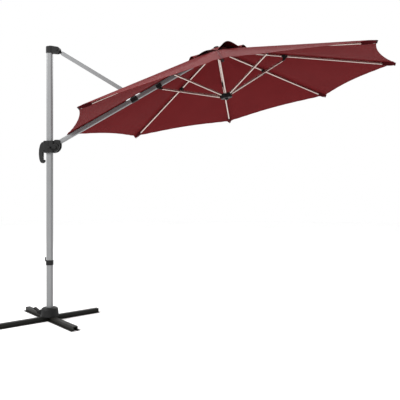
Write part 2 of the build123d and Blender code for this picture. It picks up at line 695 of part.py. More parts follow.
def grip_handle():
    """Solid bow grip screwed to the back of the sleeve, with a pocket for the trigger."""
    half = GRIP_WIDTH / 2
    grip = plate(grip_path(), -half, half)
    long_edges = grip.edges().filter_by(GeomType.CIRCLE)
    grip = fillet(long_edges, GRIP_ROUND)
    x, z = trigger_pivot()
    toe = z - TRIGGER_LENGTH - TRIGGER_TOE
    side = TRIGGER_HALF + SEAT
    pocket = box(
        (x - TRIGGER_TOP - 2 * SEAT, -SLIDER_X / 2 + 1), (-side, side),
        (toe - TRIGGER_SWING, z + TRIGGER_TOP + TRIGGER_LEAN),
    )
    pin = rod(x, z, TRIGGER_PIN, -TRIGGER_PIN_HALF, TRIGGER_PIN_HALF)
    return grip - pocket + pin


def trigger_pivot():
    return -SLIDER_X / 2 - TRIGGER_OUT, boom_pivot_z - TRIGGER_DROP


def release_trigger():
    """Squeeze lever that frees the slider from the mast."""
    x, z = trigger_pivot()
    toe = Pos(x + TRIGGER_LEAN, z - TRIGGER_LENGTH) * Circle(TRIGGER_TOE)
    outline = make_hull((Pos(x, z) * Circle(TRIGGER_TOP) + toe).edges())
    lever = plate(outline, -TRIGGER_HALF, TRIGGER_HALF)
    return lever - rod(x, z, TRIGGER_PIN + FIT, -TRIGGER_HALF, TRIGGER_HALF)


def winch_case():
    """Round cover over the winch on the near cheek."""
    x, z = WINCH_OUT, winch_centre.Z
    near = -CHEEK_OUTER - WINCH_THICK
    case = rod(x, z, WINCH_RADIUS, near, -CHEEK_OUTER)
    case = fillet(case.faces().sort_by(Axis.Y)[0].edges(), WINCH_ROUND)
    inside = rod(x, z, WINCH_RADIUS - WINCH_WALL, near + WINCH_WALL, -CHEEK_OUTER)
    hub = rod(x, z, SHAFT_RADIUS + WINCH_BOSS, near, -CHEEK_OUTER)
    return case - inside + hub - rod(x, z, SHAFT_RADIUS + FIT, near, -CHEEK_OUTER)


def winch_reel():
    """Shaft and drum inside the housing, below the boom's foot."""
    x, z = WINCH_OUT, winch_centre.Z
    near = -CHEEK_OUTER - WINCH_THICK
    half = cheek_inner - RUN
    shaft = rod(x, z, SHAFT_RADIUS, near - RUN, CHEEK_OUTER)
    drum = rod(x, z, REEL_RADIUS - REEL_DEPTH, -half, half)
    flanges = rod(x, z, REEL_RADIUS, -half, REEL_FLANGE - half)
    flanges += rod(x, z, REEL_RADIUS, half - REEL_FLANGE, half)
    return shaft + drum + flanges


def crank_arm():
    """Flat crank with a boss at each end; it points back towards the mast."""
    x, z = WINCH_OUT, winch_centre.Z
    near = -CHEEK_OUTER - WINCH_THICK - RUN
    tip = x - CRANK_REACH
    small_end = Pos(tip, z) * Circle(CRANK_RADIUS - CRANK_TAPER)
    outline = make_hull((Pos(x, z) * Circle(CRANK_RADIUS) + small_end).edges())
    arm = plate(outline, near - CRANK_THICK, near)
    arm = fillet(arm.faces().sort_by(Axis.Y)[0].edges(), CRANK_ROUND)
    knob_end = near - CRANK_THICK - KNOB_LENGTH
    peg = rod(tip, z, PEG_RADIUS, knob_end - PEG_HEAD, near)
    peg += rod(tip, z, PEG_RADIUS + PEG_HEAD, knob_end - 2 * PEG_HEAD, knob_end - 1)
    return arm + peg


def crank_knob():
    tip = WINCH_OUT - CRANK_REACH
    near = -CHEEK_OUTER - WINCH_THICK - RUN - CRANK_THICK - RUN
    knob = rod(tip, winch_centre.Z, KNOB_RADIUS, near - KNOB_LENGTH + 1, near)
    knob = fillet(knob.edges().filter_by(GeomType.CIRCLE), KNOB_ROUND)
    return knob - rod(tip, winch_centre.Z, PEG_RADIUS + FIT, near - KNOB_LENGTH, near)


# ---------------------------------------------------------------- upper arm
def arm_tube():
    tube_end = link_length - ARM_END_LENGTH
    return arm_frame * tube(ARM_WIDTH, ARM_DEPTH, ARM_CORNER, ARM_WALL, ARM_END_LENGTH, tube_end)


def arm_end():
    """End plug: a thin eye at the pivot, a shoulder, and a spigot inside the tube."""
    shank = bar(ARM_WIDTH, 2 * ARM_EYE_RADIUS, ARM_CORNER, 0, ARM_END_LENGTH)
    eye = rod(0, 0, ARM_EYE_RADIUS, -ARM_WIDTH / 2, ARM_WIDTH / 2)
    inner = 2 * (ARM_WALL + SNUG)
    spigot = bar(
        ARM_WIDTH - inner, ARM_DEPTH - inner, ARM_CORNER - ARM_WALL,
        ARM_END_LENGTH, ARM_END_LENGTH + PLUG_DEPTH,
    )
    hole = rod(0, 0, ARM_PIN_RADIUS + FIT, -ARM_WIDTH, ARM_WIDTH)
    return eye + shank + spigot - hole


def arm_ends():
    turned = Pos(link_length, 0, 0) * Rot(Z=180) * arm_end()
    return [arm_frame * arm_end(), arm_frame * turned]


# ---------------------------------------------------------------- boom
def boom_tube():
    end = BOOM_LENGTH - HEAD_START
    return boom_frame * tube(BOOM_WIDTH, BOOM_DEPTH, BOOM_CORNER, BOOM_WALL, FOOT_LENGTH, end)


def boom_plug(start, end):
    inner = 2 * (BOOM_WALL + SNUG)
    return bar(BOOM_WIDTH - inner, BOOM_DEPTH - inner, BOOM_CORNER - BOOM_WALL, start, end)


def boom_foot():
    """End plug with the eye that turns on the slider's pin."""
    half = BOOM_WIDTH / 2
    eye = rod(0, 0, FOOT_RADIUS, -half, half)
    neck = bar(BOOM_WIDTH, 2 * FOOT_RADIUS, BOOM_CORNER, 0, FOOT_LENGTH)
    spigot = boom_plug(FOOT_LENGTH, FOOT_LENGTH + PLUG_DEPTH)
    hole = rod(0, 0, BOOM_PIN_RADIUS + FIT, -half, half)
    return boom_frame * (eye + neck + spigot - hole)


def boom_head():
    """End plug with a narrow tongue that fits the crown's slot like a rib."""
    half = RIB_WIDTH / 2
    tongue = rod(BOOM_LENGTH, 0, ROOT_RADIUS, -half, half)
    tongue += bar(RIB_WIDTH, 2 * ROOT_RADIUS, RIB_CORNER, BOOM_LENGTH - HEAD_START, BOOM_LENGTH)
    spigot = boom_plug(BOOM_LENGTH - HEAD_START - PLUG_DEPTH, BOOM_LENGTH - HEAD_START)
    hole = rod(BOOM_LENGTH, 0, RIB_PIN_RADIUS + FIT, -half, half)
    return boom_frame * (tongue + spigot - hole)


def arm_clamp():
    """Sleeve round the boom with two ears above it that hold the upper arm, and their pin."""
    width = BOOM_WIDTH + 2 * CLAMP_WALL
    depth = BOOM_DEPTH + 2 * CLAMP_WALL
    low, high = CLAMP_REACH - CLAMP_HALF, CLAMP_REACH + CLAMP_HALF
    sleeve = bar(width, depth, BOOM_CORNER + CLAMP_WALL, low, high)
    outer = ear_inner + EAR_WALL
    root = ((low + CLAMP_SHOULDER, high - CLAMP_SHOULDER), (0, BOOM_DEPTH / 2 + CLAMP_WALL))
    outline = ear(CLAMP_REACH, CLAMP_RISE, CLAMP_EAR_RADIUS, root)
    ears = plate(outline, ear_inner, outer) + plate(outline, -outer, -ear_inner)
    hole = bar(BOOM_WIDTH + 2 * SNUG, BOOM_DEPTH + 2 * SNUG, BOOM_CORNER, low - 1, high + 1)
    clamp = sleeve + ears - hole
    clamp -= rod(CLAMP_REACH, CLAMP_RISE, ARM_PIN_RADIUS, -outer, outer)
    pin = rod(CLAMP_REACH, CLAMP_RISE, ARM_PIN_RADIUS, -outer, outer)
    pin += rod(CLAMP_REACH, CLAMP_RISE, CLAMP_HEAD, -outer - CLAMP_HEAD_THICK, -outer)
    pin += rod(CLAMP_REACH, CLAMP_RISE, CLAMP_HEAD, outer, outer + CLAMP_HEAD_THICK)
    return [boom_frame * clamp, boom_frame * pin]


def strut_bracket(along, tube_width, tube_depth):
    """Saddle under a rib or the boom, with two ears that hold a strut's end, and the rivet."""
    gap = STRUT_WIDTH / 2 + RUN
    ear_outer = gap + BRACKET_WALL
    side = tube_width / 2 + SNUG
    foot = -tube_depth / 2 - SNUG
    low = foot - SADDLE_THICK
    wall = max(BRACKET_WALL, ear_outer - side)
    ends = (along - BRACKET_HALF, along + BRACKET_HALF)
    saddle = box(ends, (-side - wall, side + wall), (low, tube_depth / 4))
    saddle -= box((along - BEYOND, along + BEYOND), (-side, side), (foot, tube_depth))
    shoulder = BRACKET_HALF - BRACKET_SHOULDER
    root = ((along - shoulder, along + shoulder), (low, foot))
    outline = ear(along, -STRUT_DROP, STRUT_EYE_RADIUS, root)
    body = saddle + plate(outline, gap, ear_outer) + plate(outline, -ear_outer, -gap)
    body -= rod(along, -STRUT_DROP, RIB_PIN_RADIUS, -ear_outer, ear_outer)
    rivet = rod(along, -STRUT_DROP, RIB_PIN_RADIUS, -ear_outer, ear_outer)
    rivet += rod(along, -STRUT_DROP, 2 * RIB_PIN_RADIUS, -ear_outer - RIVET_HEAD, -ear_outer)
    rivet += rod(along, -STRUT_DROP, 2 * RIB_PIN_RADIUS, ear_outer, ear_outer + RIVET_HEAD)
    return [body, rivet]


def boom_brackets():
    """The arm's clamp and the boom strut's bracket, each with its pin."""
    lower = strut_bracket(BOOM_LENGTH - STRUT_REACH, BOOM_WIDTH, BOOM_DEPTH)
    return arm_clamp() + [boom_frame * piece for piece in lower]


# ---------------------------------------------------------------- crown and lower hub
def slot_drop(number):
    """How far a slot's pin lies under the common level: only the boom's is lower."""
    return BOOM_DROP if number == 0 else 0.0


def slotted_hub(radius, core, low, high, slot_low, slot_high, width):
    """A round hub with one radial slot for each rib or strut; slot heights are about the pin."""
    hub = disc(radius, low, high)
    hub = fillet(hub.edges().filter_by(GeomType.CIRCLE), HUB_ROUND)
    for number in range(RIBS):
        drop = slot_drop(number)
        z_range = (max(slot_low - drop, low - 1), min(slot_high - drop, high + 1))
        slot = box((core, radius + 10), (-width / 2, width / 2), z_range)
        hub -= Rot(Z=180 - 360.0 / RIBS * number) * slot
    return hub


def hub_pins():
    """Short pins across the slots, in the hub's own frame."""
    pins = []
    for number in range(RIBS):
        pin = rod(CROWN_PIVOT, -slot_drop(number), RIB_PIN_RADIUS, -HUB_PIN_HALF, HUB_PIN_HALF)
        pins.append(Rot(Z=180 - 360.0 / RIBS * number) * pin)
    return pins


def less_pins(hub):
    for pin in hub_pins():
        hub -= pin
    return hub


def hollow_core(core, low, high, pocket_low, pocket_high):
    """Space inside a moulded hub: a round core, and a blind hole in each web between two slots."""
    pocket = Pos(POCKET_OUT, 0) * disc(POCKET_RADIUS, pocket_low, pocket_high)
    return [disc(core - HUB_WALL, low, high)] + [Rot(Z=turn) * pocket for turn in around(RIBS, 180.0 / RIBS)]


def crown_hub():
    """Slots are open below, because the ribs fold down."""
    slot_top = ROOT_RADIUS + 1
    hub = slotted_hub(
        CROWN_RADIUS, CROWN_CORE, -CROWN_FOOT, CROWN_TOP, -BEYOND, slot_top, RIB_WIDTH + 2 * RUN,
    )
    roof = CROWN_TOP - HUB_WALL
    for space in hollow_core(CROWN_CORE, -CROWN_FOOT, roof, -CROWN_FOOT, roof):
        hub -= space
    return crown_frame * less_pins(hub)


def rib_pins():
    return [crown_frame * pin for pin in hub_pins()]


def lower_hub():
    """Slots are open above, because the struts fold up; the boom's slot is deeper."""
    eye = STRUT_EYE_RADIUS + 1
    hub = slotted_hub(HUB_RADIUS, HUB_CORE, -HUB_FOOT, HUB_TOP, -eye, BEYOND, STRUT_WIDTH + 2 * RUN)
    floor = HUB_WALL - HUB_FOOT
    for space in hollow_core(HUB_CORE, floor, HUB_TOP, floor, HUB_TOP):
        hub -= space
    hub += disc(HUB_CORE / 2, -HUB_FOOT - HUB_KNOB, -HUB_FOOT)
    return hub_frame * less_pins(hub)


def strut_pins():
    return [hub_frame * pin for pin in hub_pins()]


def vent_height(radius):
    """Height of the vent cap's underside over the rib pivots, above a rib."""
    return CROWN_PIVOT * math.tan(rib_slope) + cloth_lift + VENT_RISE - radius * math.tan(rib_slope)


def crown_finial():
    """Plate on the crown, a stem through the vent cap and a button that holds the cloth down."""
    cap_low = vent_height(VENT_BORE) + CLOTH + SEAT
    finial = disc(CROWN_RADIUS - FINIAL_MARGIN, CROWN_TOP, CROWN_TOP + FINIAL_PLATE)
    finial += disc(FINIAL_STEM, CROWN_TOP, cap_low)
    button = disc(FINIAL_RADIUS, cap_low, cap_low + FINIAL_THICK)
    button = fillet(button.faces().sort_by(Axis.Z)[-1].edges(), FINIAL_ROUND)
    return crown_frame * (finial + button)


# ---------------------------------------------------------------- ribs and struts
def member_end(radius, width, depth, corner, wall, length):
    """A plug with an eye at the origin and a spigot inside its tube, along +X."""
    eye = rod(0, 0, radius, -width / 2, width / 2)
    shank = bar(width, 2 * radius, corner, 0, length)
    inner = 2 * (wall + SNUG)
    spigot = bar(width - inner, depth - inner, corner - wall, length, length + PLUG_DEPTH)
    return eye + shank + spigot - rod(0, 0, RIB_PIN_RADIUS + FIT, -width, width)


def rib(number):
    """One rib: tube, root eye, tip plug, and the bracket and rivet for its strut."""
    tube_end = RIB_REACH - TIP_LENGTH
    body = tube(RIB_WIDTH, RIB_DEPTH, RIB_CORNER, RIB_WALL, ROOT_LENGTH, tube_end)
    root = member_end(ROOT_RADIUS, RIB_WIDTH, RIB_DEPTH, RIB_CORNER, RIB_WALL, ROOT_LENGTH)
    inner = 2 * (RIB_WALL + SNUG)
    tip = bar(RIB_WIDTH, RIB_DEPTH, RIB_CORNER, tube_end, RIB_REACH)
    tip += bar(RIB_WIDTH - inner, RIB_DEPTH - inner, RIB_CORNER - RIB_WALL, tube_end - PLUG_DEPTH, tube_end)
    pieces = [body, root, tip] + strut_bracket(STRUT_REACH, RIB_WIDTH, RIB_DEPTH)
    return [rib_frame(number) * piece for piece in pieces]


def strut(number):
    """One strut: a tube with an eyed plug at each end."""
    start, end = STRUT_END_LENGTH, strut_length - STRUT_END_LENGTH
    body = tube(STRUT_WIDTH, STRUT_DEPTH, STRUT_CORNER, STRUT_WALL, start, end)
    plug = member_end(
        STRUT_EYE_RADIUS, STRUT_WIDTH, STRUT_DEPTH, STRUT_CORNER, STRUT_WALL, STRUT_END_LENGTH,
    )
    far = Pos(strut_length, 0, 0) * Rot(Z=180) * plug
    return [strut_frame(number) * piece for piece in (body, plug, far)]


# ---------------------------------------------------------------- canopy cloth
def half_gore(number, side, top, start, reach, scallop):
    """Half a gore beside one rib: flat cloth from the rib to the middle of the gore, scalloped at the hem."""
    here, there = rib_ray(number), rib_ray(number + side)
    middle = (here + there).normalized()
    spread = here.get_angle(there)
    half_spread = math.radians(spread / 2)
    corner = top + here * reach
    other = top + there * reach
    depth = reach * math.cos(half_spread) - scallop
    inset = (here - there).normalized() * (SEAM_GAP / 2)
    hem = top + middle * depth + inset
    half_chord = (corner - other).length / 2
    radius = (half_chord ** 2 + scallop ** 2) / (2 * scallop)
    centre = top + middle * (depth + radius)
    toward = ((corner - centre).normalized() + (hem - centre).normalized()).normalized()
    between = centre + toward * radius
    inner_rib = top + here * start
    inner_mid = top + middle * (start * math.cos(half_spread)) + inset
    edges = [
        Edge.make_line(inner_rib, corner),
        Edge.make_three_point_arc(corner, between, hem),
        Edge.make_line(hem, inner_mid),
        Edge.make_line(inner_mid, inner_rib),
    ]
    return Solid.extrude(Face(Wire(edges)), crown_axis * CLOTH)


def gore_pair(number, top, start, reach, scallop):
    halves = [half_gore(number, side, top, start, reach, scallop) for side in (-1, 1)]
    return halves[0] + halves[1]


def canopy_panel(number):
    """The cloth on both sides of one rib; neighbouring panels meet in the middle of a gore."""
    panel = gore_pair(number, apex, CLOTH_START, CANOPY_RADIUS, SCALLOP)
    if number == 0:
        along = pivot_to_apex + BOOM_LENGTH - CLAMP_REACH
        place = frame_at(apex + rib_ray(0) * along, crown_out, crown_axis)
        opening = extrude(SlotOverall(CLAMP_HOLE_LENGTH, CLAMP_HOLE_WIDTH), 60, both=True)
        panel -= place * opening
    return panel


def vent_cap():
    """Small second canopy over the crown, held down by the finial."""
    top = apex + crown_axis * VENT_RISE
    start = VENT_BORE / math.cos(rib_slope)
    return [gore_pair(number, top, start, VENT_RADIUS, VENT_SCALLOP) for number in range(RIBS)]


# ---------------------------------------------------------------- writing
def nodes():
    made = {
        "base_bar_long": base_bar_long(),
        "base_bar_short": base_bar_short(),
        "centre_plate": centre_plate(),
        "lock_ring": lock_ring(),
        "pivot_post": pivot_post(),
        "base_bolts": base_bolts(),
        "base_cover": base_cover(),
        "lower_mast": mast_length(MAST_FOOT, MAST_JOINT),
        "upper_mast": mast_length(MAST_JOINT, MAST_TOP),
        "mast_spigot": mast_spigot(),
        "swivel_bushes": swivel_bushes(),
        "mast_collar": mast_collar(),
        "mast_cap": mast_cap(),
        "mast_pins": mast_pins(),
        "foot_pedal": foot_pedal(),
        "slider_housing": slider_housing(),
        "housing_screws": housing_screws(),
        "glide_pads": glide_pads(),
        "boom_pin": boom_pin(),
        "grip_handle": grip_handle(),
        "release_trigger": release_trigger(),
        "winch_case": winch_case(),
        "winch_reel": winch_reel(),
        "crank_arm": crank_arm(),
        "crank_knob": crank_knob(),
        "upper_arm": arm_tube(),
        "arm_ends": arm_ends(),
        "boom_tube": boom_tube(),
        "boom_foot": boom_foot(),
        "boom_head": boom_head(),
        "boom_brackets": boom_brackets(),
        "crown_hub": crown_hub(),
        "rib_pins": rib_pins(),
        "crown_finial": crown_finial(),
        "vent_cap": vent_cap(),
        "lower_hub": lower_hub(),
        "strut_pins": strut_pins(),
        "boom_strut": strut(0),
    }
    for number in range(RIBS):
        made[f"canopy_panel_{number}"] = canopy_panel(number)
    for number in range(1, RIBS):
        made[f"rib_{number}"] = rib(number)
        made[f"strut_{number}"] = strut(number)
    return made


def write(made):
    os.makedirs("parts", exist_ok=True)
    for name, shape in made.items():
        solids = shape if isinstance(shape, list) else [shape]
        group = Compound(children=[solid for item in solids for solid in item.solids()])
        export_step(group, f"parts/{name}.step")


def report_places():
    """Prints the pivots that the joints turn about."""
    for name, point in (
        ("arm pivot", arm_pivot), ("clamp pivot", arm_pivot + arm_dir * link_length),
        ("boom pivot", boom_pivot), ("crown pivot", crown_pivot), ("crown centre", crown_centre),
        ("hub centre", hub_centre), ("winch", winch_centre), ("apex", apex),
    ):
        print(name, [round(value, 3) for value in point])


write(nodes())
report_places()
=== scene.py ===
# Offset patio umbrella: an open, tilted eight-rib canopy on a boom, an upright mast, a cross base.
# Metres, +Z up. The mast stands on the origin and the canopy lies towards +X.
import bpy
import json
import math
from mathutils import Matrix, Vector

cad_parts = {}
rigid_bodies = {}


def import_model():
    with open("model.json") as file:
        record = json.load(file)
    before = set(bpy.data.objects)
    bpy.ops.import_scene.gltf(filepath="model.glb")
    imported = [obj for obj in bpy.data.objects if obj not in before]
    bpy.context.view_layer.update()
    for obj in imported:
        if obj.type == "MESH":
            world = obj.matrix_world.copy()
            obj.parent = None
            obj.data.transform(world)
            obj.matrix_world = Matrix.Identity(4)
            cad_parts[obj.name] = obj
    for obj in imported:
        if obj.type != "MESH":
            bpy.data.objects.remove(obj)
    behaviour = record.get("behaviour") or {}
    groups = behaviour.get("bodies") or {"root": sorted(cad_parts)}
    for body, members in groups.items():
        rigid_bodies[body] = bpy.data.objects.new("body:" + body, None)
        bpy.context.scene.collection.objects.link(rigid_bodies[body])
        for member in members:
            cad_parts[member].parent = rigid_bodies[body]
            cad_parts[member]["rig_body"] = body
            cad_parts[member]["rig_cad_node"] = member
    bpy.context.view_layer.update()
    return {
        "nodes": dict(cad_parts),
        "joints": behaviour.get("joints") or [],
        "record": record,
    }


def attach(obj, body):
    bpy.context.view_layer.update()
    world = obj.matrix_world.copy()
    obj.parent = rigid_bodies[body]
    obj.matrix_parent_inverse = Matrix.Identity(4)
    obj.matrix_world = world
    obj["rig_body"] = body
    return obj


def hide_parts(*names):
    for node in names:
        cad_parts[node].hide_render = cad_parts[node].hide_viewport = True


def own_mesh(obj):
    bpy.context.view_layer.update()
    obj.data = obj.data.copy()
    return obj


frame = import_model()
nodes = frame["nodes"]
joints = {joint["name"]: joint for joint in frame["joints"]}

# ---------------------------------------------------------------- sizes
RIBS = 8                       # the boom is rib 0
RIB_SLOPE = math.radians(17.3) # a rib below the crown's plane
ROOT_OUT = 0.038               # crown centre to a rib's pivot
CLOTH_LIFT = 0.0115            # cloth above the rib's centre line, along the crown's axis
CLOTH_THICK = 0.0006
CANOPY_REACH = 1.574           # apex to corner, along a rib
CANOPY_START = 0.085
CANOPY_SCALLOP = 0.060         # how far the hem curves in between two corners
VENT_REACH = 0.305
VENT_START = 0.052
VENT_SCALLOP = 0.010
VENT_RISE = 0.018
VENT_HEM_RISE = 0.006
VENT_BILLOW = (0.034, 0.034, 0.034, 0.034, 0.040, 0.066, 0.026, 0.040)  # of each gore, mid-hem
STEM_RADIUS = 0.012            # hole in the top disc for the finial's stem
RIB_REACH = 1.529              # rib pivot to rib end
RIB_WIDTH = 0.014
RIB_DEPTH = 0.020
ROOT_LENGTH = 0.030            # black plug at a rib's inner end
STRUT_REACH = 0.565            # rib pivot to the strut's bracket
STRUT_DROP = 0.032             # strut's joint below the rib's centre line
BRACKET_HALF = 0.027
TIP_PLUG = 0.014               # black plug at a rib's outer end
STRUT_PLUG = 0.020


# ---------------------------------------------------------------- places, from the joints
def pivot(name):
    return Vector(joints[name]["pos_m"])


crown = (pivot("rib_2_fold") + pivot("rib_6_fold")) / 2
crown_out = (pivot("rib_4_fold") - crown).normalized()
crown_up = crown_out.cross(Vector(joints["rib_4_fold"]["axis"])).normalized()
crown_side = crown_up.cross(crown_out)
apex = crown + crown_up * (ROOT_OUT * math.tan(RIB_SLOPE) + CLOTH_LIFT)


def radial(number):
    turn = math.tau / RIBS * number
    return crown_side * math.sin(turn) - crown_out * math.cos(turn)


def rib_ray(number):
    return radial(number) * math.cos(RIB_SLOPE) - crown_up * math.sin(RIB_SLOPE)


def rib_up(number):
    return radial(number) * math.sin(RIB_SLOPE) + crown_up * math.cos(RIB_SLOPE)


def rib_place(number, origin):
    """Matrix of a local frame: X out along a rib, Y across it, Z out of the cloth."""
    ray, up = rib_ray(number), rib_up(number)
    turned = Matrix((ray, up.cross(ray), up)).transposed().to_4x4()
    return Matrix.Translation(origin) @ turned


def rib_body(number):
    return "boom" if number == 0 else f"rib_{number}"


# ---------------------------------------------------------------- shared steps
def linear(code):
    """An sRGB hex colour as linear RGBA."""
    parts = [int(code[i:i + 2], 16) / 255 for i in (1, 3, 5)]
    return [c / 12.92 if c <= 0.04045 else ((c + 0.055) / 1.055) ** 2.4 for c in parts] + [1.0]


def deselect():
    if bpy.context.mode != "OBJECT":
        bpy.ops.object.mode_set(mode="OBJECT")
    bpy.ops.object.select_all(action="DESELECT")


def take(piece):
    """Makes a piece the only one selected, in object mode."""
    deselect()
    piece.select_set(True)
    bpy.context.view_layer.objects.active = piece


def made(name):
    """Names the primitive that was just added."""
    piece = bpy.context.active_object
    piece.name = name
    piece.data.name = name
    return piece


def modify(piece, kind, **settings):
    """Adds a modifier and applies it."""
    take(piece)
    modifier = piece.modifiers.new(kind.lower(), kind)
    for key, value in settings.items():
        setattr(modifier, key, value)
    bpy.ops.object.modifier_apply(modifier=modifier.name)


def edit(piece):
    """Opens a piece in edit mode with nothing selected."""
    take(piece)
    bpy.ops.object.mode_set(mode="EDIT")
    bpy.ops.mesh.select_all(action="DESELECT")


def pick_faces(piece, chosen):
    """Selects the faces that a test on their centre and normal picks, in edit mode."""
    bpy.ops.object.mode_set(mode="OBJECT")
    for face in piece.data.polygons:
        face.select = chosen(face.center, face.normal)
    bpy.ops.object.mode_set(mode="EDIT")
    bpy.ops.mesh.select_mode(type="FACE")


def block(name, x, y, z):
    """A box primitive over three (low, high) ranges, as a start to shape."""
    deselect()
    bpy.ops.mesh.primitive_cube_add(size=1.0)
    piece = made(name)
    size = [high - low for low, high in (x, y, z)]
    middle = [(high + low) / 2 for low, high in (x, y, z)]
    piece.data.transform(Matrix.Translation(middle) @ Matrix.Diagonal((*size, 1.0)))
    return piece


def round_over(piece, width, segments, sharp=30.0):
    """Rounds every edge that turns by more than the angle."""
    modify(piece, "BEVEL", width=width, segments=segments, limit_method="ANGLE",
           angle_limit=math.radians(sharp))


def smooth(piece, angle):
    take(piece)
    bpy.ops.object.shade_smooth_by_angle(angle=math.radians(angle))


def dress(piece, material):
    piece.data.materials.clear()
    piece.data.materials.append(material)


def fit(piece, body, slot, *stands_for):
    """Sets a finished piece on its body and hides the CAD nodes it stands for. The slot argument is
    not used.
    """
    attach(piece, body)
    if stands_for:
        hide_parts(*stands_for)


# ---------------------------------------------------------------- materials
def add(tree, kind, wires=(), **settings):
    """Adds one shader node. A setting is an attribute or, with underscores for spaces, a socket."""
    node = tree.nodes.new("ShaderNode" + kind)
    for key, value in settings.items():
        if hasattr(node, key):
            setattr(node, key, value)
        else:
            node.inputs[key.replace("_", " ")].default_value = value
    for socket, source in wires:
        tree.links.new(source, node.inputs[socket])
    return node


def material(name, **shader):
    """A named material with its shader's sockets set; returns it with its node tree and shader."""
    new = bpy.data.materials.new(name)
    new.use_nodes = True
    tree = new.node_tree
    surface = tree.nodes["Principled BSDF"]
    for key, value in shader.items():
        surface.inputs[key.replace("_", " ")].default_value = value
    return new, tree, surface


def tint(tree, factor, dark, light):
    """Blends two colours by a factor socket."""
    mix = add(tree, "Mix", [("Factor", factor)], data_type="RGBA")
    mix.inputs["A"].default_value = linear(dark)
    mix.inputs["B"].default_value = linear(light)
    return mix.outputs["Result"]


THREAD_SPACING = 0.003
DIE_LINE_SPACING = 0.004
DIE_LINE_LENGTH = 0.7


def woven_polyester(name, warp, weft, bloom=0.15):
    """Solution-dyed polyester, plain weave: matt, with a soft bloom along grazing edges.
    Threads are 0.4 mm apart; drawn 3 mm apart, as fine as the view can hold."""
    new, tree, surface = material(name, Roughness=0.85, IOR=1.5, Specular_IOR_Level=0.04,
                                  Sheen_Weight=bloom, Sheen_Roughness=0.18,
                                  Sheen_Tint=linear("#F0B8B8"))
    place = add(tree, "UVMap", uv_map="cloth")
    bands = math.tau / THREAD_SPACING / 20  # at scale 1 the wave node's bands are tau / 20 apart
    across = add(tree, "TexWave", [("Vector", place.outputs["UV"])], Scale=bands, Distortion=0.3)
    along = add(tree, "TexWave", [("Vector", place.outputs["UV"])], Scale=bands, Distortion=0.3,
                bands_direction="Y")
    weave = add(tree, "Math", [(0, across.outputs["Fac"]), (1, along.outputs["Fac"])],
                operation="MULTIPLY")
    cloud = add(tree, "TexNoise", [("Vector", place.outputs["UV"])], Scale=3.0, Detail=5.0)
    shade = add(tree, "Math", [(0, weave.outputs["Value"]), (1, cloud.outputs["Fac"])],
                operation="ADD")
    halved = add(tree, "Math", [(0, shade.outputs["Value"])], operation="MULTIPLY")
    halved.inputs[1].default_value = 0.6
    tree.links.new(tint(tree, halved.outputs["Value"], weft, warp), surface.inputs["Base Color"])
    bump = add(tree, "Bump", [("Height", weave.outputs["Value"])], Strength=0.25, Distance=0.0003)
    tree.links.new(bump.outputs["Normal"], surface.inputs["Normal"])
    return new


def moulded_nylon(name, dark, light, roughness=0.52):
    """Injection-moulded glass-filled nylon: near black, its spark-eroded grain breaks up gloss."""
    new, tree, surface = material(name, Roughness=roughness, IOR=1.53, Specular_IOR_Level=0.16)
    place = add(tree, "TexCoord")
    grain = add(tree, "TexNoise", [("Vector", place.outputs["Object"])], Scale=900.0, Detail=3.0)
    wear = add(tree, "TexNoise", [("Vector", place.outputs["Object"])], Scale=14.0, Detail=6.0)
    tree.links.new(tint(tree, wear.outputs["Fac"], dark, light), surface.inputs["Base Color"])
    bump = add(tree, "Bump", [("Height", grain.outputs["Fac"])], Strength=0.35, Distance=0.0004)
    tree.links.new(bump.outputs["Normal"], surface.inputs["Normal"])
    return new


def coated_aluminium(name, along):
    """Extruded aluminium with a thin silver coat: a soft metallic sheen, and faint die lines that
    run for most of a metre the way the tube was pressed. They are drawn 4 mm apart, so that they
    show; real ones lie closer."""
    new, tree, surface = material(name, Roughness=0.40, Metallic=0.30)
    place = add(tree, "TexCoord")
    stretch = add(tree, "Mapping", [("Vector", place.outputs["Object"])], vector_type="TEXTURE",
                  Rotation=along.to_track_quat("Z", "Y").to_euler(),
                  Scale=(DIE_LINE_SPACING, DIE_LINE_SPACING, DIE_LINE_LENGTH))
    lines = add(tree, "TexNoise", [("Vector", stretch.outputs["Vector"])], Scale=1.0, Detail=4.0)
    patch = add(tree, "TexNoise", [("Vector", place.outputs["Object"])], Scale=5.0, Detail=4.0)
    blend = add(tree, "Math", [(0, lines.outputs["Fac"]), (1, patch.outputs["Fac"])],
                operation="MULTIPLY")
    colour = tint(tree, blend.outputs["Value"], "#747576", "#8C8D8E")
    tree.links.new(colour, surface.inputs["Base Color"])
    bump = add(tree, "Bump", [("Height", lines.outputs["Fac"])], Strength=0.12, Distance=0.0002)
    tree.links.new(bump.outputs["Normal"], surface.inputs["Normal"])
    return new


def metallic_paint(name):
    """Thin steel tube under champagne paint with aluminium flake: bright, warm, lightly mottled; the
    pink in its warmth is partly a painted reflection of the burgundy canopy.
    """
    new, tree, surface = material(name, Roughness=0.26, Metallic=0.92)
    place = add(tree, "TexCoord")
    flake = add(tree, "TexNoise", [("Vector", place.outputs["Object"])], Scale=450.0, Detail=3.0)
    cloud = add(tree, "TexNoise", [("Vector", place.outputs["Object"])], Scale=7.0, Detail=5.0)
    blend = add(tree, "Math", [(0, flake.outputs["Fac"]), (1, cloud.outputs["Fac"])],
                operation="ADD")
    halved = add(tree, "Math", [(0, blend.outputs["Value"])], operation="MULTIPLY")
    halved.inputs[1].default_value = 0.5
    # both colours carry a pink cast that is partly painted reflection of the burgundy canopy, besides
    # the paint's own colour
    colour = tint(tree, halved.outputs["Value"], "#A4968F", "#DDCEC6")
    tree.links.new(colour, surface.inputs["Base Color"])
    bump = add(tree, "Bump", [("Height", flake.outputs["Fac"])], Strength=0.10, Distance=0.0002)
    tree.links.new(bump.outputs["Normal"], surface.inputs["Normal"])
    return new


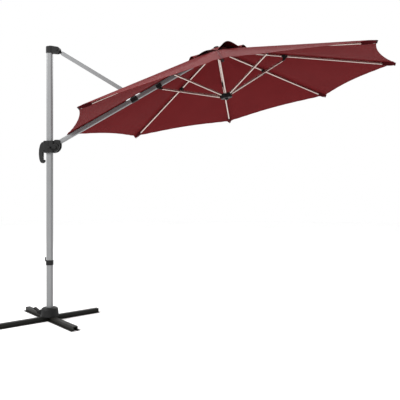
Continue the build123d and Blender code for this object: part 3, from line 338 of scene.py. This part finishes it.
def powder_coated_steel(name, dark, light):
    """Steel under black polyester powder: a low orange peel, and dust that dulls it in patches."""
    new, tree, surface = material(name, IOR=1.5, Specular_IOR_Level=0.14)
    place = add(tree, "TexCoord")
    peel = add(tree, "TexNoise", [("Vector", place.outputs["Object"])], Scale=420.0, Detail=2.0)
    dust = add(tree, "TexNoise", [("Vector", place.outputs["Object"])], Scale=9.0, Detail=7.0)
    tree.links.new(tint(tree, dust.outputs["Fac"], dark, light), surface.inputs["Base Color"])
    gloss = add(tree, "MapRange", [("Value", dust.outputs["Fac"])], To_Min=0.34, To_Max=0.58)
    tree.links.new(gloss.outputs["Result"], surface.inputs["Roughness"])
    bump = add(tree, "Bump", [("Height", peel.outputs["Fac"])], Strength=0.3, Distance=0.0005)
    tree.links.new(bump.outputs["Normal"], surface.inputs["Normal"])
    return new


def zinc_plated_steel(name):
    """Turned steel with bright zinc: a grey metal with slightly clouded gloss."""
    new, tree, surface = material(name, Metallic=1.0)
    place = add(tree, "TexCoord")
    cloud = add(tree, "TexNoise", [("Vector", place.outputs["Object"])], Scale=120.0, Detail=5.0)
    colour = tint(tree, cloud.outputs["Fac"], "#8E8F91", "#B9BABB")
    tree.links.new(colour, surface.inputs["Base Color"])
    gloss = add(tree, "MapRange", [("Value", cloud.outputs["Fac"])], To_Min=0.25, To_Max=0.45)
    tree.links.new(gloss.outputs["Result"], surface.inputs["Roughness"])
    return new


canopy_cloth = woven_polyester("woven_polyester_burgundy", "#6C1E21", "#531416")
seam_cloth = woven_polyester("folded_seam_burgundy", "#5A171C", "#440E13")
# the pockets' cloth is the canopy's burgundy; their darker colours are painted shade
pocket_cloth_painted_shade = woven_polyester("pocket_burgundy_painted_shade", "#4E1519", "#3C0D11", bloom=0.1)
patch_cloth = woven_polyester("reinforcing_patch_black", "#1A1819", "#0E0D0D", bloom=0.03)
nylon = moulded_nylon("moulded_nylon_black", "#101010", "#1C1C1C")
grip_rubber = moulded_nylon("moulded_grip_black", "#141414", "#242424", roughness=0.62)
silver = coated_aluminium("coated_aluminium_upright", Vector((0, 0, 1)))
silver_arm = coated_aluminium("coated_aluminium_arm", pivot("arm_clamp_hinge") - pivot("boom_fold"))
silver_boom = coated_aluminium("coated_aluminium_boom", rib_ray(0))
champagne_paint_and_painted_glow = metallic_paint("metallic_paint_champagne_painted_pink_reflection")
black_steel = powder_coated_steel("powder_coated_steel_black", "#0E0E0C", "#22211E")
zinc = zinc_plated_steel("zinc_plated_steel")
# dark fastener finish; on the housing's sunk screws it also paints the shade of their holes
dark_fastener_and_painted_hole_shade = powder_coated_steel("dark_fastener_painted_hole_shade", "#0C0C0C", "#1E1E1E")


# ---------------------------------------------------------------- canopy cloth
GORE_COLUMNS = 40     # over one panel, which is half a gore each side of a rib
GORE_ROWS = 56
COLUMN_CROWDING = 1.6 # columns stand closer near the rib
RIDGE_HALF = 0.058    # half of the level strip over a rib
CLOTH_SAG = 0.010     # mid-gore
CORNER_FOLD = 0.0013  # height of the folds that fan out from a corner
CLOTH_DRIFT = 0.0025  # slow swell along a gore
VENT_COLUMNS = 20
VENT_ROWS = 18
VENT_LAP = 0.060      # radius of the top disc
SEAM_HALF = 0.009     # half of the felled seam over a rib
SEAM_RISE = 0.0014
SEAM_SHORT = 0.004    # a seam ends this far before the corner
HEM_DEPTH = 0.022
HEM_FOLD = 0.0018     # the turned hem lies this far under the cloth
POCKET_LENGTH = 0.110
POCKET_DEPTH = 0.026
POCKET_EASE = 0.004   # room beside the rib's end
POCKET_TOP = 0.0006
TAB_LENGTH = 0.070    # tab at the corner over the boom
TAB_HALF = 0.019
TAB_DEPTH = 0.003
OPENING_LENGTH = 0.150
OPENING_WIDTH = 0.060
CUTTER_HALF = 0.050
PATCH_BORDER = 0.016
PATCH_HALF_THICK = 0.0016
PATCH_TUCK = 0.002    # the patch's hole is this much smaller than the cloth's
PATCH_LIFT = 0.0012


def gore_tangent(number, side):
    """In the plane of the gore, square to the rib and towards the neighbour."""
    here, there = rib_ray(number), rib_ray(number + side)
    return (there - here * here.dot(there)).normalized()


HALF_GORE = rib_ray(0).angle(rib_ray(1)) / 2


def hem_distance(angle, reach, scallop):
    """Apex to hem in the gore's plane: an arc through both corners, curved in by the scallop."""
    depth = reach * math.cos(HALF_GORE) - scallop
    half_chord = reach * math.sin(HALF_GORE)
    radius = (half_chord ** 2 + scallop ** 2) / (2 * scallop)
    centre = depth + radius
    off = HALF_GORE - angle
    return centre * math.cos(off) - math.sqrt(radius ** 2 - (centre * math.sin(off)) ** 2)


def start_distance(angle, start):
    return start * math.cos(HALF_GORE) / math.cos(HALF_GORE - angle)


GORE_FALL = -gore_tangent(0, 1).dot(rib_up(0)) / math.cos(RIB_SLOPE)


def ridge_lift(aside):
    """Cloth lies level across a rib before it turns down into the gore, so it also clears the rib's
    edges when the panel is gathered."""
    return GORE_FALL * min(aside, RIDGE_HALF) * math.exp(-max(aside - RIDGE_HALF, 0.0) / RIDGE_HALF)


def cloth_lift(number, side, distance, angle, share):
    """How far taut cloth stands off its flat gore: a slight sag, and folds that fan from a corner."""
    middle = math.sin(math.pi / 2 * angle / HALF_GORE) ** 2
    sag = -CLOTH_SAG * middle * math.sin(math.pi * share)
    corner = share ** 3
    fan = CORNER_FOLD * corner * math.sin(9 * math.pi * angle / HALF_GORE) * (1 - middle)
    # both halves of a gore swell together; in the last gore they are 0.35 radians apart
    phase = number * 2.4 if side > 0 else (number - 1) * 2.4
    drift = CLOTH_DRIFT * middle * math.sin(5.0 * distance + phase) * math.sin(math.pi * share)
    return sag + fan + drift + ridge_lift(distance * math.sin(angle))


def hem_area(low, high):
    """Flat area of both halves of a panel, between two distances that depend on the angle."""
    steps = 60
    total = 0.0
    for i in range(steps):
        angle = HALF_GORE * (i + 0.5) / steps
        total += (high(angle) ** 2 - low(angle) ** 2) / 2 * HALF_GORE / steps
    return 2 * total


def shape_cloth(name, columns, rows, point):
    """A grid of cloth with points from (side, angle, row). Its UV map is the flat cloth, in metres."""
    deselect()
    bpy.ops.mesh.primitive_grid_add(x_subdivisions=columns, y_subdivisions=rows, size=1.0)
    panel = made(name)
    flat = []
    for vertex in panel.data.vertices:
        column = vertex.co.x * 2
        side = 1 if column >= 0 else -1
        angle = abs(column) ** COLUMN_CROWDING * HALF_GORE
        vertex.co, distance = point(side, angle, round((vertex.co.y + 0.5) * rows))
        flat.append((side * distance * math.sin(angle), distance * math.cos(angle)))
    sheet_map = panel.data.uv_layers[0]
    sheet_map.name = "cloth"
    for loop in panel.data.loops:
        sheet_map.data[loop.index].uv = flat[loop.vertex_index]
    return panel


def flat_map(piece, place):
    """Gives a small cloth piece a UV map in metres, from its own lengthways and crossways place."""
    if not piece.data.uv_layers:
        piece.data.uv_layers.new(name="cloth")
    layer = piece.data.uv_layers[0]
    layer.name = "cloth"
    back = place.inverted()
    for loop in piece.data.loops:
        spot = back @ piece.data.vertices[loop.vertex_index].co
        layer.data[loop.index].uv = (spot.y + spot.z, spot.x)


def gather(panel):
    """Gives a panel its own copy of its mesh."""
    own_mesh(panel)


def canopy_panel(number):
    """Cloth over one rib, out to the middle of both gores, with its hem turned under."""
    ray = rib_ray(number)

    def low(angle):
        return start_distance(angle, CANOPY_START)

    def high(angle):
        return hem_distance(angle, CANOPY_REACH, CANOPY_SCALLOP)

    def point(side, angle, row):
        share = min(row / (GORE_ROWS - 2), 1.0)
        distance = low(angle) + (high(angle) - low(angle)) * share
        lift = cloth_lift(number, side, distance, angle, share)
        if row >= GORE_ROWS - 1:
            lift -= HEM_FOLD
        if row == GORE_ROWS:
            distance -= HEM_DEPTH
        spread = ray * math.cos(angle) + gore_tangent(number, side) * math.sin(angle)
        return apex + spread * distance + crown_up * lift, distance

    panel = shape_cloth(f"canopy_gore_{number}", GORE_COLUMNS, GORE_ROWS, point)
    modify(panel, "SOLIDIFY", thickness=CLOTH_THICK, offset=-1.0)
    dress(panel, canopy_cloth)
    if number == 0:
        cut_arm_opening(panel)
    smooth(panel, 60)
    fit(panel, rib_body(number), "canopy_cloth", f"canopy_panel_{number}")
    gather(panel)
    trims = [seam(number), corner_pocket(number)]
    if number == 0:
        trims.append(arm_patch())
    width = 2 * CANOPY_REACH * math.sin(HALF_GORE)
    hem_area(low, high) + HEM_DEPTH * width


def arm_centre():
    """Where the upper arm comes through the cloth over the boom."""
    along = (pivot("arm_clamp_hinge") - apex).dot(rib_ray(0))
    return apex + rib_ray(0) * along


def oval_prism(name, length, width, half_height):
    """A long round-ended block for the arm's opening, at the opening's place."""
    deselect()
    bpy.ops.mesh.primitive_cylinder_add(vertices=48, radius=width / 2, depth=2 * half_height)
    piece = made(name)
    stretch = (length - width) / 2
    for vertex in piece.data.vertices:
        vertex.co.x += stretch if vertex.co.x > 0 else -stretch
    piece.data.transform(rib_place(0, arm_centre()))
    return piece


def cut_away(piece, cutter):
    modify(piece, "BOOLEAN", operation="DIFFERENCE", object=cutter, solver="EXACT")
    bpy.data.objects.remove(cutter)


def cut_arm_opening(panel):
    cut_away(panel, oval_prism("arm_opening_cutter", OPENING_LENGTH, OPENING_WIDTH, CUTTER_HALF))


def arm_patch():
    """Black patch sewn round the arm's opening, on top of the cloth."""
    length, width = OPENING_LENGTH + 2 * PATCH_BORDER, OPENING_WIDTH + 2 * PATCH_BORDER
    patch = oval_prism("arm_opening_patch", length, width, PATCH_HALF_THICK)
    length, width = OPENING_LENGTH - PATCH_TUCK, OPENING_WIDTH - PATCH_TUCK
    cut_away(patch, oval_prism("arm_patch_cutter", length, width, CUTTER_HALF))
    patch.data.transform(Matrix.Translation(rib_up(0) * PATCH_LIFT))
    round_over(patch, 0.0006, 2)
    flat_map(patch, rib_place(0, arm_centre()))
    dress(patch, patch_cloth)
    smooth(patch, 40)
    fit(patch, "boom", "canopy_cloth")
    return patch


def seam(number):
    """Felled seam over a rib: both gores' edges folded into a raised strip, stitched each side."""
    deselect()
    bpy.ops.mesh.primitive_grid_add(x_subdivisions=60, y_subdivisions=6, size=1.0)
    strip = made(f"canopy_seam_{number}")
    ray, up = rib_ray(number), rib_up(number)
    across = up.cross(ray)
    for vertex in strip.data.vertices:
        distance = CANOPY_START + (vertex.co.x + 0.5) * (CANOPY_REACH - CANOPY_START - SEAM_SHORT)
        bow = 1 - (2 * vertex.co.y) ** 4
        spot = apex + ray * distance + across * (2 * vertex.co.y * SEAM_HALF)
        vertex.co = spot + up * (0.0002 + SEAM_RISE * bow)
    modify(strip, "SOLIDIFY", thickness=0.0005, offset=1.0)
    if number == 0:
        cut_arm_opening(strip)
    flat_map(strip, rib_place(number, apex))
    dress(strip, seam_cloth)
    smooth(strip, 50)
    fit(strip, rib_body(number), "canopy_cloth")
    return strip


def corner_pocket(number):
    """Sewn pocket that holds a rib's end at the canopy's corner, wider where it joins the cloth.
    Over the boom, which runs on past the corner, there is only a doubled tab."""
    along = ROOT_OUT / math.cos(RIB_SLOPE) + RIB_REACH
    if number == 0:
        length = (along - TAB_LENGTH, along - 0.004)
        piece = block("boom_corner_tab", length, (-TAB_HALF, TAB_HALF), (-TAB_DEPTH, POCKET_TOP))
    else:
        half = RIB_WIDTH / 2 + POCKET_EASE
        length = (along - POCKET_LENGTH, along + 0.003)
        piece = block(f"rib_pocket_{number}", length, (-half, half), (-POCKET_DEPTH, POCKET_TOP))
    edit(piece)
    bpy.ops.mesh.select_all(action="SELECT")
    bpy.ops.mesh.subdivide(number_cuts=5)
    bpy.ops.object.mode_set(mode="OBJECT")
    if number:
        for vertex in piece.data.vertices:
            height = (vertex.co.z - POCKET_TOP) / POCKET_DEPTH
            toward_tip = (vertex.co.x - along + POCKET_LENGTH) / POCKET_LENGTH
            vertex.co.y *= 1 + 0.9 * max(0.0, 1 + 1.6 * height) * (0.4 + 0.6 * toward_tip)
            vertex.co.z = POCKET_TOP + (vertex.co.z - POCKET_TOP) * (1.0 - 0.35 * toward_tip ** 3)
    piece.data.transform(rib_place(number, apex))
    round_over(piece, 0.002, 3, 35)
    flat_map(piece, rib_place(number, apex))
    dress(piece, pocket_cloth_painted_shade)
    smooth(piece, 50)
    fit(piece, rib_body(number), "canopy_cloth")
    return piece


# ---------------------------------------------------------------- vent canopy
def vent_lift(gore, angle, share):
    """The small upper canopy is sewn down at the ribs and billows up between them."""
    middle = math.sin(math.pi / 2 * angle / HALF_GORE) ** 1.2
    sewn = VENT_RISE * (1 - share) + VENT_HEM_RISE * share
    return sewn + VENT_BILLOW[gore] * middle * share ** 1.5


def vent_panel(number):
    """Cloth of the small upper canopy over one rib."""
    ray = rib_ray(number)

    def low(angle):
        return start_distance(angle, VENT_START)

    def high(angle):
        return hem_distance(angle, VENT_REACH, VENT_SCALLOP)

    def point(side, angle, row):
        share = row / VENT_ROWS
        distance = low(angle) + (high(angle) - low(angle)) * share
        spread = ray * math.cos(angle) + gore_tangent(number, side) * math.sin(angle)
        gore = number if side > 0 else (number - 1) % RIBS
        return apex + spread * distance + crown_up * vent_lift(gore, angle, share), distance

    panel = shape_cloth(f"vent_gore_{number}", VENT_COLUMNS, VENT_ROWS, point)
    modify(panel, "SOLIDIFY", thickness=CLOTH_THICK, offset=1.0)
    smooth(panel, 60)
    dress(panel, canopy_cloth)
    fit(panel, rib_body(number), "canopy_cloth", "vent_cap")
    gather(panel)
    hem_area(low, high)


def vent_disc():
    """Round of cloth at the very top, under the finial's button, lapped over the small canopy."""
    slope = math.tan(RIB_SLOPE)
    depth = (VENT_LAP - STEM_RADIUS) * slope
    deselect()
    bpy.ops.mesh.primitive_cone_add(
        vertices=64, radius1=VENT_LAP, radius2=STEM_RADIUS, depth=depth, end_fill_type="NOTHING",
    )
    disc = made("vent_top_disc")
    edit(disc)
    bpy.ops.mesh.select_all(action="SELECT")
    bpy.ops.mesh.normals_make_consistent(inside=False)
    bpy.ops.object.mode_set(mode="OBJECT")
    middle = VENT_RISE + 0.0012 - (VENT_LAP + STEM_RADIUS) / 2 * slope
    turned = Matrix((crown_out, crown_side, crown_up)).transposed().to_4x4()
    place = Matrix.Translation(apex + crown_up * middle) @ turned
    disc.data.transform(place)
    modify(disc, "SOLIDIFY", thickness=CLOTH_THICK, offset=1.0)
    flat_map(disc, place)
    dress(disc, seam_cloth)
    smooth(disc, 60)
    fit(disc, "crown", "canopy_cloth")


for rib in range(RIBS):
    canopy_panel(rib)
    vent_panel(rib)
vent_disc()


# ---------------------------------------------------------------- finishes of the CAD nodes
SKIN = 0.00008        # a face this far outside the rib's tube belongs to a moulding


def finish_parts(name, metal, is_black):
    """Gives a node two finishes: black where a test on a face's centre says so, else metal."""
    dress(nodes[name], metal)
    mesh = nodes[name].data
    mesh.materials.append(nylon)
    for face in mesh.polygons:
        face.material_index = 1 if is_black(face.center) else 0


def rib_moulding(number):
    """True on a rib's root plug, tip plug and strut bracket."""
    back = rib_place(number, pivot(f"rib_{number}_fold")).inverted()

    def test(centre):
        spot = back @ centre
        beside = abs(spot.y) > RIB_WIDTH / 2 + SKIN or spot.z < -RIB_DEPTH / 2 - SKIN
        bracket = abs(spot.x - STRUT_REACH) < BRACKET_HALF and beside
        return spot.x < ROOT_LENGTH or spot.x > RIB_REACH - TIP_PLUG or bracket

    return test


def strut_moulding(joint, length):
    """True on the eyed plug at each end of a strut."""
    def test(centre):
        away = (centre - pivot(joint)).length
        return away < STRUT_PLUG or away > length - STRUT_PLUG

    return test


slot_of = {part["node"]: part["material_slot"] for part in frame["record"]["subparts"]}
slot_finish = {
    "powder_coated_steel": black_steel, "pedal_steel": black_steel, "zinc_plated_steel": zinc,
    "grey_aluminium": silver, "black_nylon": nylon, "canopy_cloth": canopy_cloth,
}
for name, slot in slot_of.items():
    dress(nodes[name], slot_finish[slot])
# dark fasteners; on the housing screws the dark partly stands in for painted shade in the sunk holes
for name in ("housing_screws", "mast_pins", "boom_pin", "base_bolts"):
    dress(nodes[name], dark_fastener_and_painted_hole_shade)
dress(nodes["grip_handle"], grip_rubber)
dress(nodes["upper_arm"], silver_arm)
dress(nodes["boom_tube"], silver_boom)
strut_length = math.hypot(STRUT_REACH, STRUT_DROP)
finish_parts("boom_strut", champagne_paint_and_painted_glow, strut_moulding("boom_strut_hinge", strut_length))
for rib in range(1, RIBS):
    finish_parts(f"rib_{rib}", champagne_paint_and_painted_glow, rib_moulding(rib))
    finish_parts(f"strut_{rib}", champagne_paint_and_painted_glow, strut_moulding(f"strut_{rib}_hinge", strut_length))


# ---------------------------------------------------------------- rounded edges
MERGE = 0.00001
FLAT = math.radians(1.0)  # faces closer than this to one plane are one face
BIG_MOULDING_ROUND = 0.0016
SMALL_MOULDING_ROUND = 0.0010
BAR_ROUND = 0.0012


def soften(name, radius):
    """Stands a merged copy of a CAD node in for it, with every sharp edge rounded by the radius."""
    node = nodes[name]
    take(node)
    bpy.ops.object.duplicate()
    piece = made(f"{name}_rounded")
    del piece["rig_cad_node"]  # the copy stands in for the CAD node and isn't the node itself
    edit(piece)
    bpy.ops.mesh.select_all(action="SELECT")
    bpy.ops.mesh.remove_doubles(threshold=MERGE)
    bpy.ops.mesh.dissolve_limited(angle_limit=FLAT)
    bpy.ops.object.mode_set(mode="OBJECT")
    round_over(piece, radius, 2, 40)
    smooth(piece, 38)
    modify(piece, "WEIGHTED_NORMAL", keep_sharp=True, weight=100)
    fit(piece, node["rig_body"], slot_of[name], name)


for name in ("slider_housing", "mast_collar", "base_cover", "mast_cap"):
    soften(name, BIG_MOULDING_ROUND)
for name in ("winch_case", "crank_arm", "arm_ends", "boom_brackets", "release_trigger",
             "foot_pedal", "lower_hub", "crown_hub", "boom_foot", "boom_head"):
    soften(name, SMALL_MOULDING_ROUND)
for name in ("base_bar_long", "base_bar_short"):
    soften(name, BAR_ROUND)


# ---------------------------------------------------------------- hand grip and pedal tread
GRIP_HALF = 0.017
GRIP_EDGE = 0.0065
TRIGGER_ROOM_BEHIND = 0.0065  # pocket for the trigger, from the trigger's pin
TRIGGER_ROOM_BELOW = 0.042
TRIGGER_ROOM_ABOVE = 0.0085
TRIGGER_ROOM_HALF = 0.0065
TRIGGER_ROOM_FRONT = -0.040   # from the mast's axis
GRIP_OUTSIDE = (   # from the mast's axis and from the boom's pin, top to tip
    (-0.050, 0.013), (-0.068, 0.010), (-0.082, -0.006), (-0.092, -0.035), (-0.098, -0.080),
    (-0.096, -0.125), (-0.089, -0.158), (-0.078, -0.177), (-0.064, -0.182), (-0.050, -0.174),
    (-0.044, -0.160),
)
GRIP_INSIDE = (    # tip to root, with a wave for each finger
    (-0.047, -0.152), (-0.056, -0.151), (-0.0625, -0.143), (-0.0590, -0.134), (-0.0630, -0.125),
    (-0.0595, -0.116), (-0.0630, -0.107), (-0.0600, -0.098), (-0.0630, -0.089), (-0.060, -0.081),
    (-0.050, -0.078),
)


def hand_grip():
    """Bow grip on the back of the sleeve, its outline a smooth closed curve through those places."""
    pin = pivot("slider_level")
    curve = bpy.data.curves.new("grip_line", "CURVE")
    line = curve.splines.new("BEZIER")
    places = GRIP_OUTSIDE + GRIP_INSIDE
    line.bezier_points.add(len(places) - 1)
    for knot, (x, z) in zip(line.bezier_points, places):
        knot.co = (x, 0.0, pin.z + z)
        knot.handle_left_type = knot.handle_right_type = "AUTO"
    for knot in (line.bezier_points[0], line.bezier_points[-1]):
        knot.handle_left_type = knot.handle_right_type = "VECTOR"
    line.use_cyclic_u = True
    line.resolution_u = 6
    outline = bpy.data.objects.new("grip_line", curve)
    bpy.context.collection.objects.link(outline)
    take(outline)
    bpy.ops.object.convert(target="MESH")
    grip = made("hand_grip")
    edit(grip)
    bpy.ops.mesh.select_all(action="SELECT")
    bpy.ops.mesh.edge_face_add()
    bpy.ops.transform.translate(value=(0, -GRIP_HALF, 0))
    bpy.ops.mesh.extrude_region_move(TRANSFORM_OT_translate={"value": (0, 2 * GRIP_HALF, 0)})
    bpy.ops.mesh.select_all(action="SELECT")
    bpy.ops.mesh.normals_make_consistent(inside=False)
    bpy.ops.object.mode_set(mode="OBJECT")
    round_over(grip, GRIP_EDGE, 4, 60)
    middle = pivot("trigger_squeeze")
    cut_away(grip, block(
        "trigger_pocket", (middle.x - TRIGGER_ROOM_BEHIND, TRIGGER_ROOM_FRONT),
        (-TRIGGER_ROOM_HALF, TRIGGER_ROOM_HALF),
        (middle.z - TRIGGER_ROOM_BELOW, middle.z + TRIGGER_ROOM_ABOVE),
    ))
    dress(grip, grip_rubber)
    smooth(grip, 40)
    modify(grip, "WEIGHTED_NORMAL", keep_sharp=True, weight=100)
    fit(grip, "slider", "black_nylon", "grip_handle")


PEDAL_REACH = 0.047      # pedal's pin to the middle of its toe
PEDAL_RISE = 0.035
PEDAL_HALF_THICK = 0.0035
TREAD_START = 0.018      # from the pin, along the pedal
TREAD_END = 0.057
TREAD_HALF = 0.023
TREAD_PAD = 0.0010
TREAD_RIDGES = 6
TREAD_RIDGE_RISE = 0.0015


def pedal_tread():
    """Non-slip pad on the pedal, with ridges across it."""
    along = Vector((-PEDAL_REACH, 0, PEDAL_RISE)).normalized()
    up = Vector((PEDAL_RISE, 0, PEDAL_REACH)).normalized()
    turned = Matrix((along, up.cross(along), up)).transposed().to_4x4()
    strips = 2 * TREAD_RIDGES + 1
    length = TREAD_END - TREAD_START
    deselect()
    bpy.ops.mesh.primitive_grid_add(x_subdivisions=strips, y_subdivisions=1, size=1.0)
    tread = made("pedal_tread")
    middle = Matrix.Translation(((TREAD_START + TREAD_END) / 2, 0, 0))
    tread.data.transform(middle @ Matrix.Diagonal((length, 2 * TREAD_HALF, 1.0, 1.0)))
    modify(tread, "SOLIDIFY", thickness=TREAD_PAD, offset=1.0)
    edit(tread)

    def is_ridge(centre, normal):
        strip = int((centre.x - TREAD_START) / length * strips)
        return normal.z > 0.5 and strip % 2 == 1

    pick_faces(tread, is_ridge)
    bpy.ops.mesh.extrude_region_move(TRANSFORM_OT_translate={"value": (0, 0, TREAD_RIDGE_RISE)})
    bpy.ops.object.mode_set(mode="OBJECT")
    round_over(tread, 0.0004, 2)
    tread.data.transform(Matrix.Translation(pivot("pedal_press") + up * PEDAL_HALF_THICK) @ turned)
    dress(tread, grip_rubber)
    smooth(tread, 40)
    fit(tread, "pedal", "pedal_steel")


hand_grip()
pedal_tread()


# ---------------------------------------------------------------- studio
def floor():
    deselect()
    bpy.ops.mesh.primitive_plane_add(size=30.0, location=(0, 0, -0.001))
    ground = made("studio_floor")
    pale, tree, surface = material("studio_floor_pale", Roughness=0.9)
    place = add(tree, "TexCoord")
    mottle = add(tree, "TexNoise", [("Vector", place.outputs["Object"])], Scale=0.6, Detail=3.0)
    colour = tint(tree, mottle.outputs["Fac"], "#FAFAFA", "#FFFFFF")
    tree.links.new(colour, surface.inputs["Base Color"])
    dress(ground, pale)


def lamp(name, size, power, place, target, colour="#FFFFFF"):
    light = bpy.data.objects.new(name, bpy.data.lights.new(name, "AREA"))
    light.data.shape = "DISK"
    light.data.size = size
    light.data.energy = power
    light.data.color = linear(colour)[:3]
    light.location = place
    light.rotation_euler = (Vector(target) - Vector(place)).to_track_quat("-Z", "Y").to_euler()
    bpy.context.collection.objects.link(light)


def studio():
    world = bpy.data.worlds.new("studio_air")
    world.use_nodes = True
    air = world.node_tree.nodes["Background"]
    air.inputs["Color"].default_value = linear("#FFFFFF")
    air.inputs["Strength"].default_value = 1.0
    bpy.context.scene.world = world
    bpy.context.scene.view_settings.view_transform = "Standard"
    floor()
    lamp("key", 2.4, 430.0, (-4.2, -3.6, 4.6), (0.7, 0, 1.5))
    lamp("rim", 3.0, 90.0, (1.5, 5.0, 4.6), (1.0, 0, 1.8))


def camera():
    eye = bpy.data.objects.new("camera", bpy.data.cameras.new("camera"))
    eye.data.lens = 47.385
    eye.data.sensor_width = 36.0
    eye.data.shift_x = 0.0142
    eye.data.shift_y = -0.0264
    eye.location = (1.7265, -4.7305, 1.204)
    eye.rotation_euler = (math.radians(90), 0, 0.082)
    bpy.context.collection.objects.link(eye)
    bpy.context.scene.camera = eye


studio()
camera()
